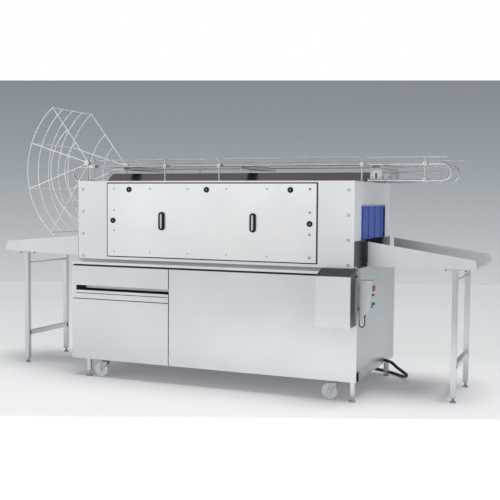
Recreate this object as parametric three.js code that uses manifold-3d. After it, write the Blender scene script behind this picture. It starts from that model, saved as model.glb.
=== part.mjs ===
// Tunnel washing machine for stacking crates, with its inlet and outlet tables, the track on top that
// brings the crates back and the wire cage that turns them over the inlet table.
// Millimetres. x runs along the machine from the housing's inlet end, y runs from the housing's front
// face to the back and z runs up from the floor. The finished group is centred over its own footprint.
import * as THREE from 'three';
import { mergeVertices } from 'three/addons/utils/BufferGeometryUtils.js';
import Module from 'manifold-3d';

const wasm = await Module();
wasm.setup();

// Driving dimensions: common to many pieces
const sheet = 3; // thickness of panels and walls
const seat = 0.3; // gap between two pieces that touch
const running = 0.4; // play of a pin or shaft in its bore, on the radius
const swing = 0.9; // play round a door that turns in its frame
const overrun = 6; // how far a cutter runs past what it cuts
const bite = 1; // how far solids that are joined run into each other

// Driving dimensions: cabinet and housing
const clearUnder = 151; // floor to the cabinet's lower edge
const cabinetHeight = 849;
const overhang = 40; // the cabinet stands this far out round the housing
const housing = { length: 2421, depth: 1117, height: 654.7 };
const endPanelLift = 74; // the end panels stand on the frame, this far above the front panels' edge
const panelDepth = 15; // depth of the folded edge of a front panel
const panelGap = 8; // dark joint between two front panels
const frameBar = 60; // width of the base frame's tubes
const ledge = { drop: 26, lip: 20, shadow: 16 }; // sloped drip ledge under the housing
const divider = { x: 885 }; // joint between the two front bays
const stile = 10; // strip left of the front doors

// Planes that most pieces keep to
const cabinetTop = clearUnder + cabinetHeight;
const cabinetFront = -overhang;
const cabinetBack = housing.depth + overhang;
const cabinetLeft = -overhang;
const cabinetRight = housing.length + overhang;
const housingFoot = cabinetTop + seat;
const housingTop = housingFoot + housing.height;
const trackMiddle = housing.depth / 2; // y of the middle of the track
const panelTop = cabinetTop - ledge.drop - ledge.lip - ledge.shadow;
const panelBack = cabinetFront + panelDepth;

// Driving dimensions: left bay, as depths under the cabinet's top
const slotDepths = { top: 224, bottom: 267, stripTop: 288, doorTop: 338 };
const slotBay = {
  top: cabinetTop - slotDepths.top,
  bottom: cabinetTop - slotDepths.bottom,
  stripTop: cabinetTop - slotDepths.stripTop,
  doorTop: cabinetTop - slotDepths.doorTop,
};

// Driving dimensions: wash door, locks and handles
const doorMargin = { left: 287, right: 290, foot: 26.7, head: 17 };
const doorway = {
  x: doorMargin.left,
  z: housingFoot + doorMargin.foot,
  length: housing.length - doorMargin.left - doorMargin.right,
  height: housing.height - doorMargin.foot - doorMargin.head,
  rim: 20,
};
const gasket = { width: 4, proud: 2, depth: 14 };
const washDoor = { proud: 8, depth: 26 };
const lock = { head: 22, headDepth: 7, stem: 10, key: 3, camReach: 62, camWidth: 18, camDepth: 3 };
const topLocks = { drop: 54, xShares: [0.1150, 0.4989, 0.8834] };
const sideLocks = { inset: 58, heightShare: 0.491 };
const handle = { height: 151, width: 55, rim: 19, depth: 26, heightShare: 0.493, xShares: [0.2809, 0.7164] };

// Driving dimensions: tunnel, curtains and aprons
const tunnelMargin = { front: 190, back: 170, top: 177, bottom: 19.7 };
const tunnel = {
  front: tunnelMargin.front,
  back: housing.depth - tunnelMargin.back,
  top: housingTop - tunnelMargin.top,
  bottom: housingFoot + tunnelMargin.bottom,
};
const apronMargin = { front: 252, back: 230, height: 202.7 };
const apron = {
  front: apronMargin.front,
  back: housing.depth - apronMargin.back,
  top: housingFoot + apronMargin.height,
};
const curtain = { lap: 8, thickness: 3, hem: 2, rail: 12, pin: 3, pinLength: 10, lug: 16 };
const inletMouth = 304.5; // half its width, which leaves the cage's side wires clear of the strips
const mouths = {
  inlet: { front: trackMiddle - inletMouth, back: trackMiddle + inletMouth, strips: 6 },
  outlet: { front: tunnel.front, back: tunnel.back, strips: 8 },
};

// Driving dimensions: conveyor, tank and water
const conveyorMargin = { front: 300, back: 301, rise: 45 };
const conveyor = {
  level: cabinetTop + conveyorMargin.rise,
  front: conveyorMargin.front,
  back: housing.depth - conveyorMargin.back,
  sprocket: 80,
  chain: 16,
  chainWidth: 20,
  carrierWidth: 30,
  carrierOverlap: 24,
  pushers: 4,
  carriers: 2,
  bendSteps: 10,
};
const shaft = { radius: 12, inset: 140, front: 20, bearing: 20, teeth: 10, tooth: 8,
  toothShares: [0, 0.25, 0.5, 0.75] };
const tankMargin = { front: 45, back: 117, left: 45, right: 1, rim: 160, pan: 255, step: 25 };
const tank = {
  x: divider.x - tankMargin.step,
  front: tankMargin.front,
  back: housing.depth - tankMargin.back,
  left: tankMargin.left,
  right: housing.length - tankMargin.right,
  rim: cabinetTop - tankMargin.rim,
  pan: cabinetTop - tankMargin.pan,
};
const pump = { x: 330, y: 420, volute: 95, voluteDepth: 70, motor: 72, motorLength: 270, plate: 8 };
const pipeMargin = { upper: 75, lower: 40, back: 72 };
const pipe = {
  riser: 25,
  sleeve: 3,
  header: 20,
  branch: 12,
  x: 600,
  y: housing.depth - pipeMargin.back,
  upper: housingTop - pipeMargin.upper,
  lower: cabinetTop - pipeMargin.lower,
};
const sprayMargin = { left: 420, right: 521 };
const nozzle = { radius: 8, length: 14 };
const branchCount = { upper: 5, lower: 4, nozzles: 3 };
const gearbox = { width: 110, height: 110, depth: 84, motor: 39, motorLength: 230, overShaft: 44 };

// Driving dimensions: roof, track and turning cage
const roof = { leftInset: 100, rightInset: 13, halfFoot: 274.5, halfTop: 168.5, rise: 73 };
const trackRise = { rail: 70, guideRod: 183, arc: 94, hub: 164, postFoot: 115 };
const railEnd = { reach: 666, rearReach: 627, stubInset: 23 };
const rail = {
  radius: 10,
  offset: 292,
  left: -237,
  right: housing.length + railEnd.reach,
  rearRight: housing.length + railEnd.rearReach,
  axis: housingTop + trackRise.rail,
  bend: 61,
  bendSteps: 6,
  stubLeft: -24,
  stubRight: cabinetRight - railEnd.stubInset,
};
const post = { radius: 7, offset: 333, inset: 10, outletInset: 11, hangerReach: 471, foot: 16, footDepth: 5,
  middleShares: [0.2929, 0.4994] };
const postXs = [
  post.inset,
  ...post.middleShares.map((share) => housing.length * share),
  housing.length - post.outletInset,
];
const clamp = { width: 26, height: 24 };
const guideRod = { radius: 6, left: -8, rightReach: 629, rearReach: 658, offset: 321 };
const ties = { first: 320, middleShare: 0.5886, lastReach: 90, width: 80, height: 28, drop: 4 };
const gusset = { reach: 45, length: 90, thickness: 5, height: 80 };
const cage = { radius: 722, x: 14, z: housingTop + trackRise.arc, wire: 4, offset: 312, arcs: 5, steps: 10 };
// degrees over the arcs' own centre: spokes out to the outer arc, its lower end, and one shorter spoke
const cageSpokes = { tips: [51.5, 20.5, -12.5, -49.5], arcEnd: -53, wire: 4 };
// radii of the arcs across the spokes at each side
const cageWeb = { outer: 470, inner: 322, end: -78 };
const cageHub = { x: -57, z: housingTop + trackRise.hub, radius: 22, depth: 8, pin: 7, cap: 24, capDepth: 8,
  postFoot: housingTop - trackRise.postFoot };

// Driving dimensions: tables, with rises over the cabinet's top
const tableMargin = { front: 249, back: 227 };
const table = { front: tableMargin.front, back: housing.depth - tableMargin.back, tongue: 30,
  cornerShare: 0.3 };
const outlet = { length: 816, nearRise: 193, farRise: 78, footRise: 3, farFootRise: 3, floorRise: 25,
  farFloorRise: 25, corner: 27, legReach: 665, back: housing.depth };
const inlet = { length: 920, nearRise: 189, farRise: 117, footRise: 3, farFootRise: 30, floorRise: 25,
  farFloorRise: 52, corner: 40, legReach: 694, back: table.back };
const leg = { width: 40, crossHeight: 273, rodDepth: 82, rod: 8, plate: 180, plateDepth: 6 };
const foot = { pad: 25, padHeight: 17, neck: 8, neckHeight: 25, collar: 25, collarHeight: 8, tube: 23 };
const tableFoot = { pad: 22, padHeight: 20, neck: 8, neckHeight: 22 };
const tableBolt = { radius: 6, height: 10, offset: 72 };

// Driving dimensions: feet and castors under the cabinet
const feetMargin = { left: 152, right: 35, front: 30, back: 99 };
const feet = {
  left: cabinetLeft + feetMargin.left,
  right: cabinetRight - feetMargin.right,
  front: cabinetFront + feetMargin.front,
  back: cabinetBack - feetMargin.back,
};
const castor = { leftInset: 162, rightInset: 138, rearInset: 100, radius: 62.5, width: 32, axleHeight: 67,
  trail: 38, axle: 6, cheek: 4, cheekGap: 2, cheekWidth: 36, crown: 30, crownDepth: 7, stem: 8, plate: 90,
  plateDepth: 5 };

// Driving dimensions: control box, console and cable
const boxMargin = { right: 277, bottom: 423, frontTop: 46, backTop: 1 };
const controlBox = {
  x: cabinetRight - boxMargin.right,
  length: 264,
  depth: 142,
  bottom: cabinetTop - boxMargin.bottom,
  frontTop: cabinetTop - boxMargin.frontTop,
  backTop: cabinetTop + boxMargin.backTop,
  doorDepth: 15,
  edge: 3,
};
const consoleReach = { back: 20, foot: 22, knee: 98, tip: 118 }; // out from the cabinet's outlet end
const consoleDepths = { top: 80, knee: 300, foot: 371 }; // under the cabinet's top
const consoleBody = {
  front: -42,
  back: 42,
  x: cabinetRight + consoleReach.back,
  footX: cabinetRight + consoleReach.foot,
  kneeX: cabinetRight + consoleReach.knee,
  tipX: cabinetRight + consoleReach.tip,
  topZ: cabinetTop - consoleDepths.top,
  kneeZ: cabinetTop - consoleDepths.knee,
  footZ: cabinetTop - consoleDepths.foot,
};
const consoleBracket = { height: 180, depth: 36 };
const emergency = { below: 59, head: 20, headDepth: 8, stem: 8, stemDepth: 22, travel: 6 };
const startButton = { below: 194, head: 11, headDepth: 8, stem: 6, stemDepth: 16, travel: 4 };
const modeKnob = { below: 176, y: 24, head: 11, headDepth: 14, grip: 5, gripHeight: 6, stem: 4,
  stemDepth: 14 };
const conduit = { radius: 6, gland: 10, glandHeight: 20, glandOverEnd: 10 };
// out from the cabinet's outlet end, y, and height over the cabinet's top
const conduitOffsets = [[-33, -20, 10], [-13, -20, 8], [4, -21, -4], [13, -24, -28], [15, -26, -60],
  [15, -26, -294]];
const cable = { radius: 4 };
const cableRoute = [[2476, -26, 695.7], [2476, -26, 672], [2476, -26, 645], [2476, -26, 617],
  [2476, -26, 590], [2477.4, -25.1, 581.8], [2481.3, -22.6, 574.9], [2487.1, -18.9, 570.2],
  [2494, -14.5, 568.6], [2500.9, -10.1, 570.2], [2506.7, -6.4, 574.9], [2510.6, -3.9, 581.8],
  [2512, -3, 590], [2512, -3, 612], [2512, -3, 634], [2512, -3, 651.7]];

// Driving dimensions: drain hose, out of the outlet end, down to the floor, back and coiled underneath
const hose = { radius: 13, nut: 17, nutLength: 26 };
const outfall = { inset: 111, back: 353, z: 187, reach: 161 };
const outfallX = housing.length - outfall.inset;
const outfallY = housing.depth - outfall.back;
const hoseRoute = [[2471.3, 764, 187], [2491, 764, 187], [2540.8, 763.6, 171.5], [2579.8, 767.5, 138.6],
  [2612.5, 790.6, 108.6], [2632.8, 828.1, 81.9], [2641.5, 872.6, 60], [2633.4, 917.8, 40.2],
  [2610.6, 959.9, 25.2], [2580.8, 999.9, 18], [2548.6, 1038.5, 14.6], [2514.8, 1075.6, 13.3],
  [2479.5, 1111.3, 13.3], [2442.1, 1144.8, 13.3], [2402.6, 1175.9, 13.3], [2361, 1204, 13.3],
  [2318, 1228, 13.3], [2274, 1246, 13.3], [2228, 1255, 13.3], [2180, 1252, 13.3],
  [2135, 1232, 13.3], [2098, 1196, 13.3], [2068, 1150, 13.3], [2041, 1098, 13.3], [2017, 1042, 13.3],
  [2004, 990, 13.3], [2000, 950, 13.3], [2000, 918.4, 13.3]];
const hoseCoil = { x: 1828, y: 880, radius: 145, pitch: 27, turns: 2, stepsPerTurn: 24, lead: 38,
  tuck: 25 }; // degrees by which the end turns in from the spiral

// Driving dimensions: fasteners on the housing's front
const screw = { radius: 9, depth: 4, inset: 46, edgeInset: 23, topInset: 70, rows: 4 };

// Flat faces round a circle, by the kind of piece
const facets = { wire: 5, small: 6, tube: 8, rod: 10, turned: 12, drum: 16, dial: 20 };

// Finishes
const finish = {
  steel: { color: 0xc9ccce, roughness: 0.35, metalness: 0.9 },
  shaded: { color: 0x9da1a5, roughness: 0.35, metalness: 0.9 },
  dark: { color: 0x4c5052, roughness: 0.25, metalness: 0.9 },
  chrome: { color: 0xdfe1e3, roughness: 0.15, metalness: 1 },
  black: { color: 0x141517, roughness: 0.5, metalness: 0 },
  blue: { color: 0x2f5fb4, roughness: 0.45, metalness: 0 },
  red: { color: 0xd83a2e, roughness: 0.4, metalness: 0 },
  white: { color: 0xf0f0ee, roughness: 0.45, metalness: 0 },
  motor: { color: 0x4d6f94, roughness: 0.5, metalness: 0.3 },
};

// Shape helpers
const axisX = new THREE.Vector3(1, 0, 0);
const axisY = new THREE.Vector3(0, 1, 0);
const axisZ = new THREE.Vector3(0, 0, 1);

function at(x, y, z) {
  return new THREE.Vector3(x, y, z);
}

function bare(geometry) {
  const plain = geometry.index ? geometry.toNonIndexed() : geometry.clone();
  plain.deleteAttribute('normal');
  plain.deleteAttribute('uv');
  return plain;
}

function toSolid(geometry) {
  const merged = mergeVertices(bare(geometry));
  return new wasm.Manifold(new wasm.Mesh({
    numProp: 3,
    vertProperties: new Float32Array(merged.attributes.position.array),
    triVerts: new Uint32Array(merged.index.array),
  }));
}

function toGeometry(solid) {
  const mesh = solid.getMesh();
  const geometry = new THREE.BufferGeometry();
  geometry.setAttribute('position', new THREE.BufferAttribute(new Float32Array(mesh.vertProperties), 3));
  geometry.setIndex(new THREE.BufferAttribute(new Uint32Array(mesh.triVerts), 1));
  return geometry;
}

function join(geometries) {
  return toGeometry(geometries.map(toSolid).reduce((sum, next) => sum.add(next)));
}

function cut(geometry, cutters) {
  return toGeometry(cutters.map(toSolid).reduce((rest, next) => rest.subtract(next), toSolid(geometry)));
}

function block(x0, x1, y0, y1, z0, z1) {
  const geometry = new THREE.BoxGeometry(x1 - x0, y1 - y0, z1 - z0);
  return geometry.translate((x0 + x1) / 2, (y0 + y1) / 2, (z0 + z1) / 2);
}

function outline(points) {
  return new THREE.Shape(points.map(([u, v]) => new THREE.Vector2(u, v)));
}

function rectangle(u0, u1, v0, v1) {
  return [[u0, v0], [u1, v0], [u1, v1], [u0, v1]];
}

function withHoles(points, holes) {
  const shape = outline(points);
  holes.forEach((hole) => shape.holes.push(new THREE.Path(hole.map(([u, v]) => new THREE.Vector2(u, v)))));
  return shape;
}

// an outline in y and z, drawn out along x
function alongX(shape, x0, x1) {
  const geometry = new THREE.ExtrudeGeometry(shape, { depth: x1 - x0, bevelEnabled: false });
  return geometry.applyMatrix4(new THREE.Matrix4().makeBasis(axisY, axisZ, axisX)).translate(x0, 0, 0);
}

// an outline in x and z, drawn out along y
function alongY(shape, y0, y1) {
  const geometry = new THREE.ExtrudeGeometry(shape, { depth: y1 - y0, bevelEnabled: false });
  const back = axisY.clone().negate();
  return geometry.applyMatrix4(new THREE.Matrix4().makeBasis(axisX, axisZ, back)).translate(0, y1, 0);
}

function alongZ(shape, z0, z1) {
  const geometry = new THREE.ExtrudeGeometry(shape, { depth: z1 - z0, bevelEnabled: false });
  return geometry.translate(0, 0, z0);
}

// a round bar from one point to another
function rod(from, to, radius, sides = facets.rod) {
  const span = to.clone().sub(from);
  const geometry = new THREE.CylinderGeometry(radius, radius, span.length(), sides);
  geometry.applyQuaternion(new THREE.Quaternion().setFromUnitVectors(axisY, span.clone().normalize()));
  const middle = from.clone().add(to).divideScalar(2);
  return geometry.translate(middle.x, middle.y, middle.z);
}

// a hole in which a round pin of the given radius turns freely
function bore(from, to, radius, sides = facets.rod) {
  return rod(from, to, (radius + running) / Math.cos(Math.PI / sides), sides);
}

// a turned piece: pairs of radius and height, standing along z
function turned(profile, sides = facets.turned) {
  const geometry = new THREE.LatheGeometry(profile.map(([r, h]) => new THREE.Vector2(r, h)), sides);
  return geometry.rotateX(Math.PI / 2);
}

// a route through given points, met one after another, for a bar that is bent
class Route extends THREE.Curve {
  constructor(points) {
    super();
    this.points = points;
  }

  getPoint(t) {
    const place = t * (this.points.length - 1);
    const first = Math.min(Math.floor(place), this.points.length - 2);
    return this.points[first].clone().lerp(this.points[first + 1], place - first);
  }

  getPointAt(u) {
    return this.getPoint(u);
  }

  getTangentAt(u) {
    const place = Math.round(u * (this.points.length - 1));
    const before = this.points[Math.max(place - 1, 0)];
    const after = this.points[Math.min(place + 1, this.points.length - 1)];
    return after.clone().sub(before).normalize();
  }
}

function circle(radius, sides = facets.turned) {
  const corners = [];
  for (let side = 0; side < sides; side += 1) {
    const angle = (side / sides) * Math.PI * 2;
    corners.push([radius * Math.cos(angle), radius * Math.sin(angle)]);
  }
  return corners;
}

function bentBar(points, radius, sides = facets.tube) {
  return new THREE.ExtrudeGeometry(outline(circle(radius, sides)), {
    steps: points.length - 1,
    bevelEnabled: false,
    extrudePath: new Route(points),
  });
}

const part = new THREE.Group();
const cordPieces = [];

function piece(name, geometry, look, place = at(0, 0, 0), turn = new THREE.Euler()) {
  const flat = bare(geometry);
  flat.computeVertexNormals();
  const mesh = new THREE.Mesh(flat, new THREE.MeshStandardMaterial(look));
  mesh.name = name;
  mesh.position.copy(place);
  mesh.rotation.copy(turn);
  part.add(mesh);
  return mesh;
}

// a pan: a sheet in x and z with folded edges that run back from its face
function pan(x0, x1, y0, depth, z0, z1) {
  const inside = block(x0 + sheet, x1 - sheet, y0 + sheet, y0 + depth + overrun, z0 + sheet, z1 - sheet);
  return cut(block(x0, x1, y0, y0 + depth, z0, z1), [inside]);
}

// Base frame with its pump floor, castor plates and the four levelling feet screwed into it
const frameFront = panelBack + seat;
const frameBack = cabinetBack - sheet - seat;
const frameLeft = cabinetLeft;
const frameRight = cabinetRight;
const frameTop = clearUnder + endPanelLift - seat;
const deckUnder = cabinetTop - sheet;
const pumpFloor = frameTop + sheet;
const tankFloor = frameTop + seat;

// tube, collar, threaded neck and pad
function levellingFoot() {
  const neckTop = foot.padHeight + foot.neckHeight;
  const collarTop = neckTop + foot.collarHeight;
  return turned([[0, 0], [foot.pad, 0], [foot.pad, foot.padHeight], [foot.neck, foot.padHeight],
    [foot.neck, neckTop], [foot.collar, neckTop], [foot.collar, collarTop], [foot.tube, collarTop],
    [foot.tube, clearUnder - seat], [foot.neck, clearUnder - seat], [foot.neck, clearUnder + bite],
    [0, clearUnder + bite]]);
}

function castorPlate({ x, y }) {
  const barFront = y < 0 ? frameFront : feet.back - frameBar / 2;
  const half = castor.plate / 2;
  return block(x - half, x + half, barFront + bite, barFront + frameBar - bite, plateUnder,
    clearUnder + bite);
}

function baseFrame() {
  const bars = [block(frameLeft, frameRight, frameFront, frameFront + frameBar, clearUnder, frameTop)];
  const crossLefts = [frameLeft, divider.x - frameBar / 2, frameRight - frameBar];
  crossLefts.forEach((x) => {
    bars.push(block(x, x + frameBar, frameFront + bite, frameBack, clearUnder, frameTop));
  });
  const rearFront = feet.back - frameBar / 2;
  bars.push(block(frameLeft + bite, frameRight - bite, rearFront, rearFront + frameBar, clearUnder,
    frameTop));
  bars.push(block(frameLeft + frameBar - bite, divider.x - frameBar / 2 + bite, frameFront + bite, feet.back,
    frameTop - bite, pumpFloor));
  [feet.left, feet.right].forEach((x) => {
    [feet.front, feet.back].forEach((y) => bars.push(levellingFoot().translate(x, y, 0)));
  });
  castorPlaces().forEach((place) => bars.push(castorPlate(place)));
  const stems = castorPlaces().map(({ x, y }) => bore(at(x, y, plateUnder - overrun),
    at(x, y, clearUnder + castor.crownDepth), castor.stem));
  const outlet = bore(at(frameRight - frameBar - overrun, outfallY, outfall.z),
    at(frameRight + overrun, outfallY, outfall.z), hose.nut);
  return cut(join(bars), [...stems, outlet]);
}

function castorPlaces() {
  return [
    { name: 'front_left', x: castorLeft, y: feet.front },
    { name: 'front_right', x: castorRight, y: feet.front },
    { name: 'rear_left', x: castorLeft + castor.rearInset, y: feet.back },
    { name: 'rear_right', x: castorRight - castor.rearInset, y: feet.back },
  ];
}

const plateUnder = clearUnder - castor.plateDepth;
const castorLeft = feet.left + castor.leftInset;
const castorRight = feet.right - castor.rightInset;
piece('base_frame', baseFrame(), finish.shaded);

// Castors: a forked swivel and a wheel on its axle, carried a little over the floor
function castorFork() {
  const inner = castor.width / 2 + castor.cheekGap;
  const outer = inner + castor.cheek;
  const crownTop = plateUnder - seat;
  const crownUnder = crownTop - castor.crownDepth;
  const half = castor.cheekWidth / 2;
  const cheekShape = outline([[-half, crownUnder], [-castor.trail - half / 2, castor.axleHeight],
    [-castor.trail, castor.axleHeight - half / 2], [-castor.trail + half, castor.axleHeight],
    [half, crownUnder]]);
  const parts = [
    alongY(cheekShape, -outer, -inner),
    alongY(cheekShape, inner, outer),
    block(-castor.crown, castor.crown, -outer, outer, crownUnder, crownTop),
    rod(at(0, 0, crownUnder), at(0, 0, clearUnder + castor.crownDepth - running), castor.stem),
    rod(at(-castor.trail, -outer, castor.axleHeight), at(-castor.trail, outer, castor.axleHeight),
      castor.axle),
  ];
  return join(parts);
}

function castorWheel() {
  const hub = castor.axle + running;
  const half = castor.width / 2;
  const tread = half - castor.cheek;
  return turned([[hub, -half], [castor.radius - castor.cheek, -half], [castor.radius, -tread],
    [castor.radius, tread], [castor.radius - castor.cheek, half], [hub, half], [hub, -half]], facets.dial);
}

castorPlaces().forEach(({ name, x, y }) => {
  piece(`castor_fork_${name}`, castorFork(), finish.shaded, at(x, y, 0));
  const wheelPlace = at(x - castor.trail, y, castor.axleHeight);
  piece(`castor_wheel_${name}`, castorWheel(), finish.white, wheelPlace, new THREE.Euler(Math.PI / 2, 0, 0));
});

// Deck of the cabinet with the sloped drip ledge along the front
const shaftZ = conveyor.level - conveyor.chain - conveyor.sprocket;
const shaftXs = [shaft.inset, housing.length - shaft.inset];
const bearingFront = shaft.front;
const bearingBack = tank.back + seat;

function cabinetDeck() {
  const ledgeFoot = cabinetTop - ledge.drop;
  const wellRight = housing.length - tank.left;
  const riserHole = circle(pipe.riser + pipe.sleeve).map(([u, v]) => [u + pipe.x, v + pipe.y]);
  const well = rectangle(tank.left, wellRight, tank.front + sheet, tank.back - sheet);
  const plate = alongZ(withHoles(rectangle(cabinetLeft, cabinetRight, 0, cabinetBack), [well, riserHole]),
    deckUnder, cabinetTop);
  const slope = alongX(outline([[0, cabinetTop], [cabinetFront, ledgeFoot],
    [cabinetFront, ledgeFoot - ledge.lip], [cabinetFront + sheet, ledgeFoot - ledge.lip],
    [cabinetFront + sheet, ledgeFoot - sheet], [0, deckUnder]]), cabinetLeft, cabinetRight);
  const bearings = shaftXs.flatMap((x) => [bearingFront, bearingBack].map((y) => {
    const half = shaft.radius * 2;
    const body = block(x - half, x + half, y, y + shaft.bearing, shaftZ - half, deckUnder + bite);
    return cut(body, [bore(at(x, y - overrun, shaftZ), at(x, y + shaft.bearing + overrun, shaftZ),
      shaft.radius)]);
  }));
  return join([plate, slope, ...bearings]);
}

piece('cabinet_deck', cabinetDeck(), finish.steel);

// Cabinet panels
const endPanelFoot = clearUnder + endPanelLift;
const endPanelTop = deckUnder - seat;
const endFront = panelBack + seat;
const ledgeUnder = cabinetTop - ledge.drop - sheet;
const endPanelSlope = (deckUnder - ledgeUnder) / (cabinetFront + sheet); // negative: it falls to the front

function endPanel(x) {
  const frontTop = endPanelTop - Math.abs(endPanelSlope * endFront);
  return alongX(outline([[endFront, endPanelFoot], [frameBack, endPanelFoot], [frameBack, endPanelTop],
    [0, endPanelTop], [endFront, frontTop - seat]]), x, x + sheet);
}

piece('end_panel_inlet', endPanel(cabinetLeft), finish.shaded);
piece('end_panel_outlet', endPanel(cabinetRight - sheet), finish.shaded);
piece('rear_panel', block(cabinetLeft, cabinetRight, cabinetBack - sheet, cabinetBack, clearUnder,
  endPanelTop), finish.steel);
const rightPanelLeft = divider.x + panelGap / 2;
const leftPanelRight = divider.x - panelGap / 2;
piece('front_panel_right', pan(rightPanelLeft, cabinetRight, cabinetFront, panelDepth, clearUnder, panelTop),
  finish.steel);
piece('front_panel_left', join([
  pan(cabinetLeft, leftPanelRight, cabinetFront, panelDepth, slotBay.top, panelTop),
  pan(cabinetLeft, leftPanelRight, cabinetFront, panelDepth, slotBay.doorTop, slotBay.stripTop),
  block(cabinetLeft, cabinetLeft + overhang, cabinetFront, panelBack, slotBay.stripTop - bite,
    slotBay.top + bite),
  block(cabinetLeft, cabinetLeft + stile - swing, cabinetFront, panelBack, clearUnder,
    slotBay.doorTop + bite),
]), finish.steel);
piece('service_door', pan(cabinetLeft + stile, leftPanelRight, cabinetFront, panelDepth, clearUnder,
  slotBay.doorTop - swing), finish.steel);

// Sieve drawer: a shallow tray with slots in its floor, behind a full-width lip
function sieveDrawer() {
  const lipLeft = cabinetLeft + overhang + swing;
  const lipRight = leftPanelRight - swing;
  const bottom = slotBay.stripTop + seat;
  const top = slotBay.bottom;
  const trayRight = tank.x - frameBar;
  const trayBack = tank.back - frameBar;
  const lip = block(lipLeft, lipRight, cabinetFront, cabinetFront + panelDepth, bottom, top);
  const trayLeft = lipLeft + stile;
  const tray = block(trayLeft, trayRight, cabinetFront + panelDepth - bite, trayBack, bottom, top);
  const hollow = block(trayLeft + sheet, trayRight - sheet, cabinetFront + panelDepth + sheet,
    trayBack - sheet, bottom + sheet, top + overrun);
  const slots = [];
  const rows = 6;
  const pitch = (trayBack - cabinetFront) / (rows + 1);
  const slotHalf = pitch / 4;
  for (let row = 1; row <= rows; row += 1) {
    const y = cabinetFront + panelDepth + row * pitch;
    slots.push(block(trayLeft + frameBar, trayRight - frameBar, y - slotHalf, y + slotHalf, bottom - overrun,
      top + overrun));
  }
  return cut(join([lip, tray]), [hollow, ...slots]);
}

piece('sieve_drawer', sieveDrawer(), finish.steel);

// Housing: front frame, back and top, and the two ends with their stepped openings
const doorRight = doorway.x + doorway.length;
const doorTopZ = doorway.z + doorway.height;

// heads of the screws in a column at each end of the housing's front
function housingScrews() {
  const heads = [];
  [screw.inset, housing.length - screw.inset].forEach((x) => {
    for (let row = 0; row < screw.rows; row += 1) {
      const span = housing.height - screw.edgeInset - screw.topInset;
      const z = housingFoot + screw.edgeInset + (span * row) / (screw.rows - 1);
      heads.push(rod(at(x, -screw.depth, z), at(x, bite, z), screw.radius));
    }
  });
  return heads;
}

function hoodFront() {
  const face = alongY(withHoles(rectangle(0, housing.length, housingFoot, housingTop),
    [rectangle(doorway.x, doorRight, doorway.z, doorTopZ)]), 0, sheet);
  const rim = alongY(withHoles(rectangle(doorway.x - sheet, doorRight + sheet, doorway.z - sheet,
    doorTopZ + sheet), [rectangle(doorway.x, doorRight, doorway.z, doorTopZ)]), sheet / 2, doorway.rim);
  return join([face, rim, ...housingScrews()]);
}

piece('hood_front', hoodFront(), finish.steel);
const hoodTopUnder = housingTop - sheet;
piece('hood_shell', alongX(outline([[sheet + seat, housingTop], [sheet + seat, hoodTopUnder],
  [housing.depth - sheet, hoodTopUnder], [housing.depth - sheet, housingFoot], [housing.depth, housingFoot],
  [housing.depth, housingTop]]), 0, housing.length), finish.steel);

const lugDrop = curtain.rail / 2;
const curtainPivotZ = tunnel.top - lugDrop - seat;
const curtainPivotInset = sheet + seat + curtain.rail;

function hoodEnd(x, inward, mouth) {
  const front = sheet + seat;
  const back = housing.depth - sheet - seat;
  const opening = [[apron.front, tunnel.bottom], [apron.back, tunnel.bottom], [apron.back, apron.top],
    [mouth.back, apron.top], [mouth.back, tunnel.top], [mouth.front, tunnel.top],
    [mouth.front, apron.top], [apron.front, apron.top]];
  const plate = alongX(withHoles(rectangle(front, back, housingFoot, hoodTopUnder - seat), [opening]),
    x, x + sheet);
  const near = inward > 0 ? x + sheet / 2 : x + sheet / 2 - curtain.rail * 2;
  const pivotX = inward > 0 ? x + curtainPivotInset : x + sheet - curtainPivotInset;
  const lugs = [[mouth.front - curtain.lug, mouth.front], [mouth.back, mouth.back + curtain.lug]];
  const shapes = lugs.map(([y0, y1]) => {
    const body = block(near, near + curtain.rail * 2, y0, y1, curtainPivotZ - curtain.rail,
      curtainPivotZ + curtain.rail);
    return cut(body, [bore(at(pivotX, y0 - overrun, curtainPivotZ), at(pivotX, y1 + overrun, curtainPivotZ),
      curtain.pin)]);
  });
  return join([plate, ...shapes]);
}

piece('hood_end_inlet', hoodEnd(0, 1, mouths.inlet), finish.shaded);
piece('hood_end_outlet', hoodEnd(housing.length - sheet, -1, mouths.outlet), finish.shaded);

function apronPlate(x) {
  const opening = rectangle(apron.front, apron.back, tunnel.bottom, apron.top + overrun);
  return cut(block(x, x + sheet, 0, housing.depth, housingFoot, apron.top), [
    block(x - overrun, x + sheet + overrun, opening[0][0], opening[1][0], opening[0][1], opening[2][1]),
  ]);
}

piece('apron_inlet', apronPlate(-sheet - seat), finish.dark);
piece('apron_outlet', apronPlate(housing.length + seat), finish.dark);

// Strip curtains that hang in the tunnel's two mouths
function stripCurtain(mouth) {
  const width = mouth.back - mouth.front - swing * 2;
  const start = mouth.front + swing;
  const stripWidth = (width + curtain.lap * (mouth.strips - 1)) / mouth.strips;
  const half = curtain.thickness / 2;
  const barHalf = curtain.rail / 2;
  const parts = [
    block(-barHalf, barHalf, start, start + width, -barHalf, barHalf),
    rod(at(0, start - curtain.pinLength, 0), at(0, start + sheet, 0), curtain.pin),
    rod(at(0, start + width - sheet, 0), at(0, start + width + curtain.pinLength, 0), curtain.pin),
  ];
  for (let strip = 0; strip < mouth.strips; strip += 1) {
    const y = start + strip * (stripWidth - curtain.lap);
    const side = strip % 2 === 0 ? -half : half;
    parts.push(block(side - half, side + half, y, y + stripWidth,
      apron.top + curtain.hem - curtainPivotZ, 0));
  }
  return join(parts);
}

piece('inlet_curtain', stripCurtain(mouths.inlet), finish.blue, at(curtainPivotInset, 0, curtainPivotZ));
piece('outlet_curtain', stripCurtain(mouths.outlet), finish.blue,
  at(housing.length - curtainPivotInset, 0, curtainPivotZ));

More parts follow.
